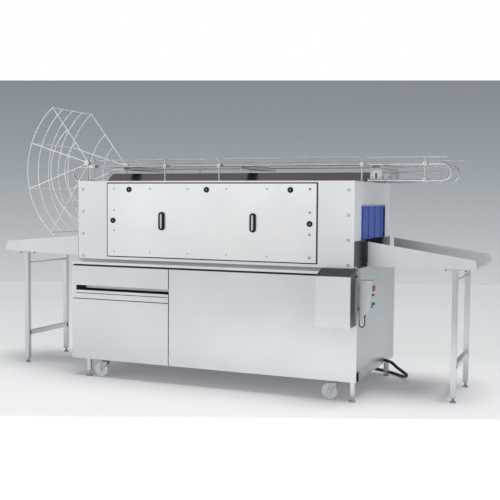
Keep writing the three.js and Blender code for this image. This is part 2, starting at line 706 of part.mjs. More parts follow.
// Wash door: a closed panel in a rubber frame, with quarter-turn locks and two oval handles
const doorLeftEdge = doorway.x + seat + gasket.width + swing;
const doorRightEdge = doorRight - seat - gasket.width - swing;
const doorFoot = doorway.z + seat + gasket.width + seat;
const doorHead = doorTopZ - seat - gasket.width - swing;
const doorFace = -washDoor.proud;
const doorBackFace = doorFace + washDoor.depth;

function lockPlaces() {
  const top = doorTopZ - topLocks.drop;
  const middle = doorway.z + doorway.height * sideLocks.heightShare;
  const across = topLocks.xShares.map((share) => doorway.x + doorway.length * share);
  return [
    { name: 'lock_top_left', x: across[0], z: top, rest: 0 },
    { name: 'lock_top_middle', x: across[1], z: top, rest: 0 },
    { name: 'lock_top_right', x: across[2], z: top, rest: 0 },
    { name: 'lock_side_left', x: doorway.x + sideLocks.inset, z: middle, rest: 1 },
    { name: 'lock_side_right', x: doorRight - sideLocks.inset, z: middle, rest: -1 },
  ];
}

function washDoorPanel() {
  const holes = lockPlaces().map(({ x, z }) => bore(at(x, doorFace - overrun, z),
    at(x, doorBackFace + overrun, z), lock.stem));
  return cut(block(doorLeftEdge, doorRightEdge, doorFace, doorBackFace, doorFoot, doorHead), holes);
}

piece('wash_door', washDoorPanel(), finish.steel);
piece('door_gasket', alongY(withHoles(rectangle(doorway.x + seat, doorRight - seat, doorway.z + seat,
  doorTopZ - seat), [rectangle(doorway.x + seat + gasket.width, doorRight - seat - gasket.width,
  doorway.z + seat + gasket.width, doorTopZ - seat - gasket.width)]), -gasket.proud, gasket.depth),
finish.black);

// the cam points along the door's edge when free, and behind the frame's rim when turned
function quarterTurnLock() {
  const headFront = doorFace - seat - lock.headDepth;
  const head = rod(at(0, headFront, 0), at(0, doorFace - seat, 0), lock.head, facets.drum);
  const stem = rod(at(0, doorFace - seat - sheet, 0), at(0, doorBackFace + seat + lock.camDepth, 0),
    lock.stem);
  const camFront = Math.max(doorBackFace, doorway.rim) + seat;
  const neck = rod(at(0, doorBackFace, 0), at(0, camFront + lock.camDepth, 0), lock.stem);
  const cam = block(-lock.camWidth / 2, lock.camReach, camFront, camFront + lock.camDepth,
    -lock.camWidth / 2, lock.camWidth / 2);
  const keyway = block(-lock.key, lock.key, headFront - overrun, headFront + lock.headDepth / 2,
    -lock.head / 2, lock.head / 2);
  return cut(join([head, stem, neck, cam]), [keyway]);
}

lockPlaces().forEach(({ name, x, z, rest }) => {
  piece(name, quarterTurnLock(), finish.black, at(x, 0, z), new THREE.Euler(0, -rest * Math.PI / 2, 0));
});

function ovalOutline(width, height, steps = facets.tube) {
  const radius = width / 2;
  const straight = height / 2 - radius;
  const corners = [];
  for (let step = 0; step <= steps; step += 1) {
    const angle = (step / steps) * Math.PI;
    corners.push([radius * Math.cos(angle), straight + radius * Math.sin(angle)]);
  }
  return [...corners, ...corners.map(([u, v]) => [-u, -v])];
}

function ovalHandle() {
  const slot = ovalOutline(handle.width - handle.rim * 2, handle.height - handle.rim * 2);
  const back = doorFace - seat;
  return alongY(withHoles(ovalOutline(handle.width, handle.height), [slot]), back - handle.depth, back);
}

['handle_left', 'handle_right'].forEach((name, order) => {
  piece(name, ovalHandle(), finish.black, at(doorway.x + doorway.length * handle.xShares[order], 0,
    doorway.z + doorway.height * handle.heightShare));
});

// Sloped cover on the roof, a folded sheet with closed ends
function roofCover() {
  const left = roof.leftInset;
  const right = housing.length - roof.rightInset;
  const frontEdge = trackMiddle - roof.halfFoot;
  const frontTop = trackMiddle - roof.halfTop;
  const backEdge = trackMiddle + roof.halfFoot;
  const backTop = trackMiddle + roof.halfTop;
  const foot = housingTop + seat;
  const top = foot + roof.rise;
  const outside = outline([[frontEdge, foot], [backEdge, foot], [backTop, top], [frontTop, top]]);
  const inside = outline([[frontEdge + sheet * 2, foot - overrun], [backEdge - sheet * 2, foot - overrun],
    [backEdge - sheet * 2, foot], [backTop - sheet, top - sheet], [frontTop + sheet, top - sheet],
    [frontEdge + sheet * 2, foot]]);
  return cut(alongX(outside, left, right), [alongX(inside, left + sheet, right - sheet)]);
}

piece('roof_cover', roofCover(), finish.dark);

// Track: one bent tube on each side, held by posts that also carry a thinner guide rod
function railTube(y, right) {
  const leftCentre = rail.left + rail.radius + rail.bend;
  const rightCentre = right - rail.radius - rail.bend;
  const points = [at(rail.stubLeft, y, rail.axis - rail.bend)];
  for (let step = 0; step <= rail.bendSteps; step += 1) {
    const angle = (step / rail.bendSteps) * Math.PI;
    points.push(at(leftCentre - rail.bend * Math.sin(angle), y, rail.axis - rail.bend * Math.cos(angle)));
  }
  for (let step = 0; step <= rail.bendSteps; step += 1) {
    const angle = (step / rail.bendSteps) * Math.PI;
    points.push(at(rightCentre + rail.bend * Math.sin(angle), y, rail.axis + rail.bend * Math.cos(angle)));
  }
  points.push(at(rail.stubRight, y, rail.axis - rail.bend));
  return bentBar(points, rail.radius);
}

const guideRodZ = housingTop + trackRise.guideRod;
const railTop = rail.axis + rail.bend;
const railBottom = rail.axis - rail.bend;
const tieTop = railTop - ties.drop;

// both tubes with the channels that tie them together and the gusset plates near the outlet end
function trackRails() {
  const parts = [];
  const gussetLeft = housing.length + gusset.reach;
  [-1, 1].forEach((side) => {
    const railY = trackMiddle + side * rail.offset;
    parts.push(railTube(railY, side < 0 ? rail.right : rail.rearRight));
    parts.push(block(gussetLeft, gussetLeft + gusset.length, railY - gusset.thickness / 2,
      railY + gusset.thickness / 2, railBottom, railBottom + gusset.height));
  });
  const tieXs = [ties.first, housing.length * ties.middleShare, housing.length + ties.lastReach];
  tieXs.forEach((x) => {
    parts.push(block(x - ties.width / 2, x + ties.width / 2, trackMiddle - rail.offset,
      trackMiddle + rail.offset, tieTop - ties.height, tieTop));
  });
  return join(parts);
}

piece('track_rails', trackRails(), finish.steel);

// one side's posts and guide rod, with the pin that carries the turning cage on that side
function trackPosts(side) {
  const postY = trackMiddle + side * post.offset;
  const rodY = trackMiddle + side * guideRod.offset;
  const inner = trackMiddle + side * (rail.offset + rail.radius + seat);
  const postHead = guideRodZ + guideRod.radius;
  const roofSeat = housingTop + seat;
  const clampAt = (x, z) => block(x - clamp.width / 2, x + clamp.width / 2, Math.min(inner, postY),
    Math.max(inner, postY), z - clamp.height / 2, z + clamp.height / 2);
  const rodEnd = housing.length + (side < 0 ? guideRod.rightReach : guideRod.rearReach);
  const parts = [rod(at(guideRod.left, rodY, guideRodZ), at(rodEnd, rodY, guideRodZ), guideRod.radius)];
  postXs.forEach((x) => {
    parts.push(rod(at(x, postY, roofSeat), at(x, postY, roofSeat + post.footDepth), post.foot));
    parts.push(rod(at(x, postY, roofSeat), at(x, postY, postHead), post.radius));
    parts.push(clampAt(x, railTop));
  });
  const hangerX = housing.length + post.hangerReach;
  parts.push(rod(at(hangerX, postY, railBottom - rail.radius), at(hangerX, postY, postHead), post.radius));
  parts.push(clampAt(hangerX, railTop));
  parts.push(clampAt(hangerX, railBottom));
  const half = post.radius - bite / 2;
  const pinEnd = trackMiddle + side * (cage.offset - cageHub.depth);
  parts.push(rod(at(cageHub.x, postY, cageHub.postFoot), at(cageHub.x, postY, cageHub.z), post.radius));
  parts.push(rod(at(cageHub.x, postY + side * (post.radius + cageHub.capDepth), cageHub.z),
    at(cageHub.x, postY, cageHub.z), cageHub.cap, facets.drum));
  parts.push(rod(at(cageHub.x, postY, cageHub.z), at(cageHub.x, pinEnd, cageHub.z), cageHub.pin));
  parts.push(block(cageHub.x, post.inset, postY - half, postY + half, railTop - clamp.height / 2,
    railTop + clamp.height / 2));
  parts.push(block(cageHub.x, -seat, postY - half, postY + half, cageHub.postFoot,
    cageHub.postFoot + clamp.height));
  return join(parts);
}

piece('track_posts_front', trackPosts(-1), finish.shaded);
piece('track_posts_rear', trackPosts(1), finish.shaded);

// Turning cage: bent wires round the end of the track, cross bars and spokes to the hubs at each side
// a place at this angle and distance from the middle of the cage's arcs
function cagePoint(degrees, y, radius) {
  const angle = (degrees * Math.PI) / 180;
  return at(cage.x - radius * Math.cos(angle), y, cage.z + radius * Math.sin(angle));
}

function cageArc(from, to, y, radius) {
  const points = [];
  for (let step = 0; step <= cage.steps; step += 1) {
    points.push(cagePoint(from + ((to - from) * step) / cage.steps, y, radius));
  }
  return bentBar(points, cage.wire, facets.wire);
}

// the angle at which the upper spoke crosses an arc of this radius, found by halving
function crossingAngle(radius) {
  const hub = at(cageHub.x, 0, cageHub.z);
  const tip = cagePoint(cageSpokes.tips[0], 0, cage.radius);
  const middle = at(cage.x, 0, cage.z);
  const halvings = 30;
  let low = 0;
  let high = 1;
  for (let step = 0; step < halvings; step += 1) {
    const share = (low + high) / 2;
    if (hub.clone().lerp(tip, share).distanceTo(middle) < radius) {
      low = share;
    } else {
      high = share;
    }
  }
  const crossing = hub.clone().lerp(tip, low);
  return (Math.atan2(crossing.z - cage.z, cage.x - crossing.x) * 180) / Math.PI;
}

function turningCage() {
  const parts = [];
  for (let wire = 0; wire < cage.arcs; wire += 1) {
    const y = trackMiddle - cage.offset + (cage.offset * 2 * wire) / (cage.arcs - 1);
    parts.push(cageArc(cageSpokes.tips[0], cageSpokes.arcEnd, y, cage.radius));
  }
  cageSpokes.tips.forEach((degrees) => {
    const inner = cage.radius - cage.wire;
    parts.push(rod(cagePoint(degrees, trackMiddle - cage.offset, inner),
      cagePoint(degrees, trackMiddle + cage.offset, inner), cageSpokes.wire, facets.wire));
  });
  [-1, 1].forEach((side) => {
    const y = trackMiddle + side * cage.offset;
    const tips = cageSpokes.tips.map((degrees) => cagePoint(degrees, y, cage.radius));
    [...tips, cagePoint(cageWeb.end, y, cageWeb.outer)].forEach((tip) => {
      parts.push(rod(at(cageHub.x, y, cageHub.z), tip, cageSpokes.wire, facets.wire));
    });
    [cageWeb.outer, cageWeb.inner].forEach((radius) => {
      parts.push(cageArc(crossingAngle(radius), cageWeb.end, y, radius));
    });
  });
  [-1, 1].forEach((side) => {
    const y = trackMiddle + side * cage.offset;
    const half = cageHub.depth / 2;
    parts.push(rod(at(cageHub.x, y - half, cageHub.z), at(cageHub.x, y + half, cageHub.z), cageHub.radius,
      facets.drum));
  });
  const bores = [-1, 1].map((side) => {
    const y = trackMiddle + side * cage.offset;
    return bore(at(cageHub.x, y - cageHub.depth, cageHub.z), at(cageHub.x, y + cageHub.depth, cageHub.z),
      cageHub.pin);
  });
  return cut(join(parts), bores);
}

piece('turning_cage', turningCage(), finish.chrome);

// Tables: a sheet trough with sloped sides on a pair of legs; the outlet's reaches the housing's back,
// beyond its legs, with a bearer over the rear leg
function tableTrough(size, x0, direction) {
  const far = x0 + direction * size.length;
  const farTop = cabinetTop + size.farRise;
  const footFar = cabinetTop + size.farFootRise;
  const floorNear = cabinetTop + size.floorRise;
  const floorFar = cabinetTop + size.farFloorRise;
  const side = (y) => {
    const rounding = size.corner * table.cornerShare;
    const points = [[x0, cabinetTop + size.footRise], [x0, cabinetTop + size.nearRise],
      [far - direction * size.corner, farTop], [far - direction * rounding, farTop - rounding],
      [far, farTop - size.corner], [far, footFar]];
    return alongY(outline(direction > 0 ? points.reverse() : points), y, y + sheet);
  };
  const near = table.front + sheet / 2;
  const back = size.back - sheet / 2;
  const tongueBack = table.back - sheet / 2;
  const floorShape = [[x0, floorNear - sheet], [x0, floorNear], [far, floorFar], [far, floorFar - sheet]];
  const floor = alongY(outline(floorShape), near, back);
  const lipX = [far, far - direction * sheet].sort((a, b) => a - b);
  const lip = block(lipX[0], lipX[1], near, back, footFar, floorFar);
  const tongueEnd = x0 - direction * table.tongue;
  const tongueX = [tongueEnd, x0 + direction * table.tongue].sort((a, b) => a - b);
  const hookX = [tongueEnd, tongueEnd + direction * sheet].sort((a, b) => a - b);
  const tongue = block(tongueX[0], tongueX[1], near, tongueBack, floorNear - sheet, floorNear);
  const hook = block(hookX[0], hookX[1], near, tongueBack, cabinetTop + seat, floorNear - bite);
  const bearers = size.back > table.back
    ? [block(x0, far, table.back - sheet, table.back, footFar, floorNear - bite)] : [];
  return join([side(table.front), side(size.back - sheet), floor, lip, tongue, hook, ...bearers]);
}

const outletStart = cabinetRight + seat;
const inletStart = cabinetLeft - seat;

function tableLegs(size, x0, direction) {
  const x = x0 + direction * size.legReach;
  const reach = size.legReach - leg.plate / 2;
  const footNear = cabinetTop + size.footRise;
  const footFar = cabinetTop + size.farFootRise;
  const rodZ = cabinetTop - leg.rodDepth;
  const plateTop = footNear + ((footFar - footNear) * reach) / size.length - seat;
  const under = plateTop - leg.plateDepth;
  const half = leg.width / 2;
  const footTop = tableFoot.padHeight + tableFoot.neckHeight;
  const ys = [table.front + half, table.back - half];
  const parts = [
    block(x - half, x + half, ys[0], ys[1], leg.crossHeight - half, leg.crossHeight + half),
    rod(at(x, ys[0], rodZ), at(x, ys[1], rodZ), leg.rod),
  ];
  ys.forEach((y) => {
    parts.push(block(x - leg.plate / 2, x + leg.plate / 2, y - half, y + half, under, plateTop));
    parts.push(block(x - half, x + half, y - half, y + half, footTop, under + bite));
    parts.push(turned([[0, 0], [tableFoot.pad, 0], [tableFoot.pad, tableFoot.padHeight / 2],
      [tableFoot.neck, tableFoot.padHeight], [tableFoot.neck, footTop + bite],
      [0, footTop + bite]]).translate(x, y, 0));
    [-1, 1].forEach((end) => {
      const boltX = x + end * tableBolt.offset;
      parts.push(rod(at(boltX, y, under - tableBolt.height), at(boltX, y, under + bite), tableBolt.radius,
        facets.small));
    });
  });
  return join(parts);
}

piece('outlet_table', tableTrough(outlet, outletStart, 1), finish.steel);
piece('outlet_table_legs', tableLegs(outlet, cabinetRight, 1), finish.shaded);
piece('inlet_table', tableTrough(inlet, inletStart, -1), finish.steel);
piece('inlet_table_legs', tableLegs(inlet, cabinetLeft, -1), finish.shaded);

// drain pipe under the tank, with the socket that the hose leaves from
function outfallPipe() {
  const low = outfall.z - hose.nut;
  const inside = rod(at(outfallX, outfallY, outfall.z), at(outfallX, outfallY,
    tankFloor + sheet + overrun), hose.radius);
  const outside = join([
    rod(at(outfallX, outfallY, low), at(outfallX, outfallY, tankFloor + bite), hose.nut),
    rod(at(outfallX, outfallY, outfall.z), at(outfallX + outfall.reach, outfallY, outfall.z), hose.nut,
      facets.tube),
  ]);
  return cut(outside, [inside]);
}

// Wash tank: a deep well with a shallow pan over the sieve drawer
function washTank() {
  const outside = outline([[tank.left, tank.rim], [tank.left, tank.pan], [tank.x, tank.pan],
    [tank.x, tankFloor], [tank.right, tankFloor], [tank.right, tank.rim]]);
  const inside = outline([[tank.left + sheet, tank.rim + overrun], [tank.left + sheet, tank.pan + sheet],
    [tank.x + sheet, tank.pan + sheet], [tank.x + sheet, tankFloor + sheet],
    [tank.right - sheet, tankFloor + sheet], [tank.right - sheet, tank.rim + overrun]]);
  const drain = rod(at(tank.left + frameBar * 2, trackMiddle, tank.pan - overrun),
    at(tank.left + frameBar * 2, trackMiddle, tank.pan + sheet + overrun), frameBar / 2, facets.drum);
  const suction = rod(at(tank.x - overrun, pump.y, pumpAxisZ),
    at(tank.x + sheet + overrun, pump.y, pumpAxisZ), pipe.riser);
  const drop = rod(at(outfallX, outfallY, tankFloor - overrun),
    at(outfallX, outfallY, tankFloor + sheet + overrun), hose.radius);
  const shell = cut(alongY(outside, tank.front, tank.back), [
    alongY(inside, tank.front + sheet, tank.back - sheet), drain, suction, drop]);
  return join([shell, outfallPipe()]);
}

const pumpAxisZ = pumpFloor + seat + pump.plate + pump.volute;
piece('wash_tank', washTank(), finish.shaded);

// Conveyor: two endless chains over sprockets on a driven and an idle shaft
function chainLoop(y) {
  const outer = conveyor.sprocket + conveyor.chain;
  const steps = conveyor.bendSteps;
  const ring = (radius) => {
    const corners = [];
    for (let step = 0; step <= steps; step += 1) {
      const angle = -Math.PI / 2 + (step / steps) * Math.PI;
      corners.push([shaftXs[1] + radius * Math.cos(angle), shaftZ + radius * Math.sin(angle)]);
    }
    for (let step = 0; step <= steps; step += 1) {
      const angle = Math.PI / 2 + (step / steps) * Math.PI;
      corners.push([shaftXs[0] + radius * Math.cos(angle), shaftZ + radius * Math.sin(angle)]);
    }
    return corners;
  };
  const inner = (conveyor.sprocket + seat) / Math.cos(Math.PI / (steps * 2));
  return alongY(withHoles(ring(outer), [ring(inner)]), y - conveyor.chainWidth / 2,
    y + conveyor.chainWidth / 2);
}

// both chains with the pusher bars between them and the cross beams that carry them on the deck
function conveyorChains() {
  const parts = [chainLoop(conveyor.front), chainLoop(conveyor.back)];
  const top = conveyor.level - conveyor.chain / 2;
  for (let pusher = 0; pusher < conveyor.pushers; pusher += 1) {
    const x = shaftXs[0] + ((shaftXs[1] - shaftXs[0]) * (pusher + 1 / 2)) / conveyor.pushers;
    parts.push(block(x - conveyor.chain / 2, x + conveyor.chain / 2, conveyor.front, conveyor.back, top,
      top + conveyor.chain));
  }
  for (let carrier = 0; carrier < conveyor.carriers; carrier += 1) {
    const x = shaftXs[0] + ((shaftXs[1] - shaftXs[0]) * (carrier + 1)) / (conveyor.carriers + 1);
    parts.push(block(x - conveyor.carrierWidth / 2, x + conveyor.carrierWidth / 2,
      tank.front - conveyor.carrierOverlap, tank.back + conveyor.carrierOverlap, cabinetTop + seat,
      conveyor.level - conveyor.chain / 2));
  }
  return join(parts);
}

piece('conveyor', conveyorChains(), finish.dark);

function sprocket(y) {
  const corners = [];
  const root = conveyor.sprocket - shaft.tooth;
  const tip = conveyor.sprocket;
  const radii = [root, tip, tip, root];
  for (let tooth = 0; tooth < shaft.teeth; tooth += 1) {
    shaft.toothShares.forEach((share, order) => {
      const angle = ((tooth + share) / shaft.teeth) * Math.PI * 2;
      corners.push([radii[order] * Math.cos(angle), radii[order] * Math.sin(angle)]);
    });
  }
  const half = conveyor.chainWidth / 4;
  return alongY(outline(corners), y - half, y + half);
}

function sprocketShaft(end) {
  const bar = rod(at(0, shaft.front + seat, 0), at(0, end, 0), shaft.radius);
  return join([bar, sprocket(conveyor.front), sprocket(conveyor.back)]);
}

const gearboxFront = bearingBack + shaft.bearing + seat;
const driveEnd = gearboxFront + gearbox.depth / 2;
piece('idler_shaft', sprocketShaft(bearingBack + shaft.bearing), finish.chrome, at(shaftXs[0], 0, shaftZ));
piece('drive_shaft', sprocketShaft(driveEnd), finish.chrome, at(shaftXs[1], 0, shaftZ));

function gearMotor() {
  const x = shaftXs[1];
  const top = shaftZ + gearbox.overShaft;
  const body = block(x - gearbox.width / 2, x + gearbox.width / 2, gearboxFront, gearboxFront + gearbox.depth,
    top - gearbox.height, top);
  const motorZ = top - (gearbox.height + gearbox.overShaft) / 2;
  const motorY = gearboxFront + gearbox.depth / 2;
  const boxSide = x - gearbox.width / 2;
  const motor = rod(at(boxSide + overrun, motorY, motorZ), at(boxSide - gearbox.motorLength, motorY, motorZ),
    gearbox.motor, facets.drum);
  return cut(join([body, motor]), [bore(at(x, gearboxFront - overrun, shaftZ),
    at(x, driveEnd + running, shaftZ), shaft.radius)]);
}

piece('gearmotor', gearMotor(), finish.motor);

// Wash pump on its plate, with the suction pipe from the tank
function washPump() {
  const plateTop = pumpFloor + seat + pump.plate;
  const rightFace = pump.x + pump.voluteDepth / 2;
  const leftFace = pump.x - pump.voluteDepth / 2;
  const volute = rod(at(leftFace, pump.y, pumpAxisZ), at(rightFace, pump.y, pumpAxisZ), pump.volute,
    facets.dial);
  const motor = rod(at(leftFace - pump.motorLength, pump.y, pumpAxisZ),
    at(leftFace + sheet, pump.y, pumpAxisZ), pump.motor, facets.drum);
  const suction = rod(at(rightFace - sheet, pump.y, pumpAxisZ), at(tank.x - seat, pump.y, pumpAxisZ),
    pipe.riser);
  const base = block(leftFace - pump.motorLength, rightFace, pump.y - pump.volute, pump.y + pump.volute,
    plateTop - pump.plate, plateTop);
  const saddle = block(leftFace - pump.motorLength / 2, rightFace - pump.voluteDepth / 4,
    pump.y - pump.motor / 2, pump.y + pump.motor / 2, plateTop - sheet, pumpAxisZ - pump.motor / 2);
  return join([volute, motor, suction, base, saddle]);
}

piece('wash_pump', washPump(), finish.motor);

// Spray pipes: riser from the pump, upper and lower headers with their branches and nozzles
function sprayPipes() {
  const elbowZ = pumpAxisZ;
  const branchFront = tank.front + frameBar;
  const lastBranch = housing.length - sprayMargin.right;
  const parts = [
    rod(at(pump.x, pump.y + pump.volute + seat, elbowZ), at(pump.x, pipe.y, elbowZ), pipe.riser),
    rod(at(pump.x - pipe.riser, pipe.y, elbowZ), at(pipe.x + pipe.riser, pipe.y, elbowZ), pipe.riser),
    rod(at(pipe.x, pipe.y, elbowZ), at(pipe.x, pipe.y, pipe.upper), pipe.riser),
    rod(at(sprayMargin.left - pipe.header, pipe.y, pipe.upper),
      at(lastBranch + pipe.header, pipe.y, pipe.upper), pipe.header),
    rod(at(pipe.x, pipe.y, pipe.lower), at(lastBranch + pipe.header, pipe.y, pipe.lower), pipe.header),
  ];
  const spray = (x, z, direction) => {
    parts.push(rod(at(x, branchFront, z), at(x, pipe.y, z), pipe.branch, facets.tube));
    for (let place = 0; place < branchCount.nozzles; place += 1) {
      const share = (place + 1 / 2) / branchCount.nozzles;
      const y = conveyor.front + (conveyor.back - conveyor.front) * share;
      const tip = z + direction * (pipe.branch + nozzle.length);
      parts.push(rod(at(x, y, z), at(x, y, tip), nozzle.radius, facets.small));
    }
  };
  const reach = lastBranch - sprayMargin.left;
  for (let branch = 0; branch < branchCount.upper; branch += 1) {
    spray(sprayMargin.left + (reach * branch) / (branchCount.upper - 1), pipe.upper, -1);
  }
  for (let branch = 1; branch <= branchCount.lower; branch += 1) {
    spray(sprayMargin.left + (reach * branch) / branchCount.lower, pipe.lower, 1);
  }
  return join(parts);
}

piece('spray_pipes', sprayPipes(), finish.chrome);

// Control box on the front, with a sloped hood over its door
const boxFront = cabinetFront - controlBox.depth;
const boxBack = cabinetFront - seat;
const boxDoorBack = boxFront + controlBox.doorDepth;

function controlBoxShell() {
  const edge = controlBox.edge;
  const x1 = controlBox.x + controlBox.length;
  const doorTop = controlBox.frontTop;
  const profile = outline([[boxBack, controlBox.bottom], [boxBack, controlBox.backTop],
    [boxFront, doorTop], [boxFront, doorTop - edge], [boxDoorBack + seat, doorTop - edge],
    [boxDoorBack + seat, controlBox.bottom]]);
  const body = alongX(profile, controlBox.x, x1);
  const room = block(controlBox.x + edge, x1 - edge, boxFront - overrun, boxBack - edge,
    controlBox.bottom + edge, doorTop - edge * 2);
  return cut(body, [room]);
}

piece('control_box', controlBoxShell(), finish.shaded);
piece('control_box_door', pan(controlBox.x, controlBox.x + controlBox.length, boxFront,
  controlBox.doorDepth, controlBox.bottom, controlBox.frontTop - controlBox.edge - seat), finish.steel);

// Operator console on the outlet end, with its bracket, conduit and cable gland
const faceRun = at(consoleBody.tipX - consoleBody.kneeX, 0, consoleBody.topZ - consoleBody.kneeZ);
const faceNormal = at(faceRun.z, 0, -faceRun.x).normalize();
const faceTilt = Math.atan2(faceRun.x, faceRun.z);

// a place on the sloped face, this far below its upper edge
function facePoint(y, below) {
  const share = 1 - below / faceRun.z;
  return at(consoleBody.kneeX + faceRun.x * share, y, consoleBody.topZ - below);
}

function along(origin, distance) {
  return origin.clone().addScaledVector(faceNormal, distance);
}

function operatorConsole() {
  const shape = outline([[consoleBody.x, consoleBody.footZ], [consoleBody.footX, consoleBody.footZ],
    [consoleBody.kneeX, consoleBody.kneeZ], [consoleBody.tipX, consoleBody.topZ],
    [consoleBody.x, consoleBody.topZ]]);
  const body = alongY(shape, consoleBody.front, consoleBody.back);
  const holes = [
    [emergency, 0], [startButton, 0], [modeKnob, modeKnob.y],
  ].map(([control, y]) => {
    const place = facePoint(y, control.below);
    return bore(along(place, overrun), along(place, -control.stemDepth - (control.travel ?? 0) - seat),
      control.stem);
  });
  const bracketTop = consoleBody.topZ - frameBar;
  const bracket = block(cabinetRight + seat, consoleBody.x + bite, -consoleBracket.depth / 2,
    consoleBracket.depth / 2, bracketTop - consoleBracket.height, bracketTop);
  const route = conduitOffsets.map(([x, y, z]) => at(cabinetRight + x, y, cabinetTop + z));
  const pipeUp = bentBar(route, conduit.radius);
  const low = route[route.length - 1];
  const glandTop = low.z + conduit.glandOverEnd;
  const gland = rod(at(low.x, low.y, glandTop - conduit.glandHeight), at(low.x, low.y, glandTop),
    conduit.gland);
  return join([cut(body, holes), bracket, pipeUp, gland]);
}

piece('operator_console', operatorConsole(), finish.shaded);

const faceTurn = new THREE.Euler(0, Math.PI / 2 + faceTilt, 0);

function pushHead(control) {
  const headFoot = seat + control.travel;
  return join([
    rod(at(0, 0, headFoot), at(0, 0, headFoot + control.headDepth), control.head, facets.dial),
    rod(at(0, 0, -control.stemDepth), at(0, 0, headFoot + sheet), control.stem),
  ]);
}

piece('emergency_stop', pushHead(emergency), finish.red, facePoint(0, emergency.below), faceTurn);
piece('start_button', pushHead(startButton), finish.blue, facePoint(0, startButton.below), faceTurn);
piece('mode_knob', join([
  rod(at(0, 0, seat), at(0, 0, modeKnob.headDepth), modeKnob.head, facets.dial),
  block(-modeKnob.head, modeKnob.head, -modeKnob.grip / 2, modeKnob.grip / 2, modeKnob.headDepth - seat,
    modeKnob.headDepth + modeKnob.gripHeight),
  rod(at(0, 0, -modeKnob.stemDepth), at(0, 0, sheet), modeKnob.stem),
]), finish.black, facePoint(modeKnob.y, modeKnob.below), faceTurn);

cordPieces.push(piece('console_cable', bentBar(cableRoute.map(([x, y, z]) => at(x, y, z)), cable.radius),
  finish.black));

// Drain hose: the free stretch on the floor, the stored coil under the cabinet and the union on its end
cordPieces.push(piece('water_hose', bentBar(hoseRoute.map(([x, y, z]) => at(x, y, z)), hose.radius),
  finish.black));

const tuck = (hoseCoil.tuck * Math.PI) / 180;
const unionWay = at(-Math.sin(tuck), -Math.cos(tuck), 0);

// a flat spiral that comes in straight, winds inwards and ends straight
function coilPoints() {
  const outer = hoseCoil.radius + (hoseCoil.pitch * hoseCoil.turns) / 2;
  const steps = hoseCoil.stepsPerTurn * hoseCoil.turns;
  const points = [at(hoseCoil.x + outer, hoseCoil.y + hoseCoil.lead, 0)];
  for (let step = 0; step <= steps; step += 1) {
    const turn = step / hoseCoil.stepsPerTurn;
    const radius = outer - hoseCoil.pitch * turn;
    const angle = -turn * Math.PI * 2;
    points.push(at(hoseCoil.x + radius * Math.cos(angle), hoseCoil.y + radius * Math.sin(angle), 0));
  }
  points.push(points[points.length - 1].clone().addScaledVector(unionWay, hoseCoil.lead));
  return points.map((point) => point.setZ(hose.radius + seat));
}

// least distance between the coil's centre line and itself, leaving out neighbours along the tube
function leastSelfGap(points, skip) {
  const fine = [];
  points.forEach((point, order) => {
    const next = points[Math.min(order + 1, points.length - 1)];
    fine.push(point.clone(), point.clone().lerp(next, 1 / 2));
  });
  let least = Infinity;
  fine.forEach((point, order) => {
    fine.slice(order + skip * 2).forEach((other) => {
      least = Math.min(least, point.distanceTo(other));
    });
  });
  return least - hose.radius * 2;
}

const coilRoute = coilPoints();
console.log('least gap of the hose coil to itself in mm', leastSelfGap(coilRoute, hoseCoil.stepsPerTurn / 2));
cordPieces.push(piece('hose_coil', bentBar(coilRoute, hose.radius, facets.small), finish.black));
const coilEnd = coilRoute[coilRoute.length - 1].clone().setZ(hose.nut + seat);
const unionStart = coilEnd.addScaledVector(unionWay, seat);
const unionEnd = unionStart.clone().addScaledVector(unionWay, hose.nutLength);
cordPieces.push(piece('hose_union', rod(unionStart, unionEnd, hose.nut, facets.tube), finish.chrome));

// The origin is the middle of the footprint at floor level, measured without the cable and the hose
const bounds = new THREE.Box3();
part.children.filter((child) => !cordPieces.includes(child)).forEach((child) => {
  bounds.expandByObject(child, true);
});
const middle = bounds.getCenter(new THREE.Vector3());
const machine = new THREE.Group();
part.position.set(-middle.x, -middle.y, -bounds.min.z);
machine.add(part);
machine.updateMatrixWorld(true);

export default machine;
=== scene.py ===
import math

import bmesh
import bpy
from mathutils import Matrix, Vector
from mathutils.geometry import tessellate_polygon


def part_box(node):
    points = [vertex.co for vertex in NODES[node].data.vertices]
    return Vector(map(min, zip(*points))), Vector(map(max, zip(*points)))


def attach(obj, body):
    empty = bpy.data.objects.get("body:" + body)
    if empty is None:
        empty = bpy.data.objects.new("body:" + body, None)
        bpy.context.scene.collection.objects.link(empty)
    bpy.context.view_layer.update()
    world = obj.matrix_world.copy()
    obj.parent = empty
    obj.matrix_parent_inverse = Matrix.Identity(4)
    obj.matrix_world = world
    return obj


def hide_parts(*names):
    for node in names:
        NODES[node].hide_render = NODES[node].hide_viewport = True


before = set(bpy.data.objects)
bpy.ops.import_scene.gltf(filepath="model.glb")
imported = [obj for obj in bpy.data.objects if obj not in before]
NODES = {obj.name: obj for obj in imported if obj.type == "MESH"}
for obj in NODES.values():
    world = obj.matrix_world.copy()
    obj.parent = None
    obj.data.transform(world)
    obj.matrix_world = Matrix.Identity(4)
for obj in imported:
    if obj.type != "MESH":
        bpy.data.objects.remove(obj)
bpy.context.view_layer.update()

# Lengths below are in millimetres from the housing's front left foot, as in the part's source.
ORIGIN = Vector((1158.5, 487.5, 0.0))


def at(x, y, z):
    """A place in millimetres, as a point of the row frame in metres."""
    return (Vector((x, y, z)) - ORIGIN) / 1000


# Camera

CAMERA = {"place": (3.0105, -6.6774, 1.5053), "yaw": 0.3958, "pitch": -0.0575, "roll": 0.0077}
LENS = {"length": 61.909, "sensor": 36.0, "shift": -0.001}


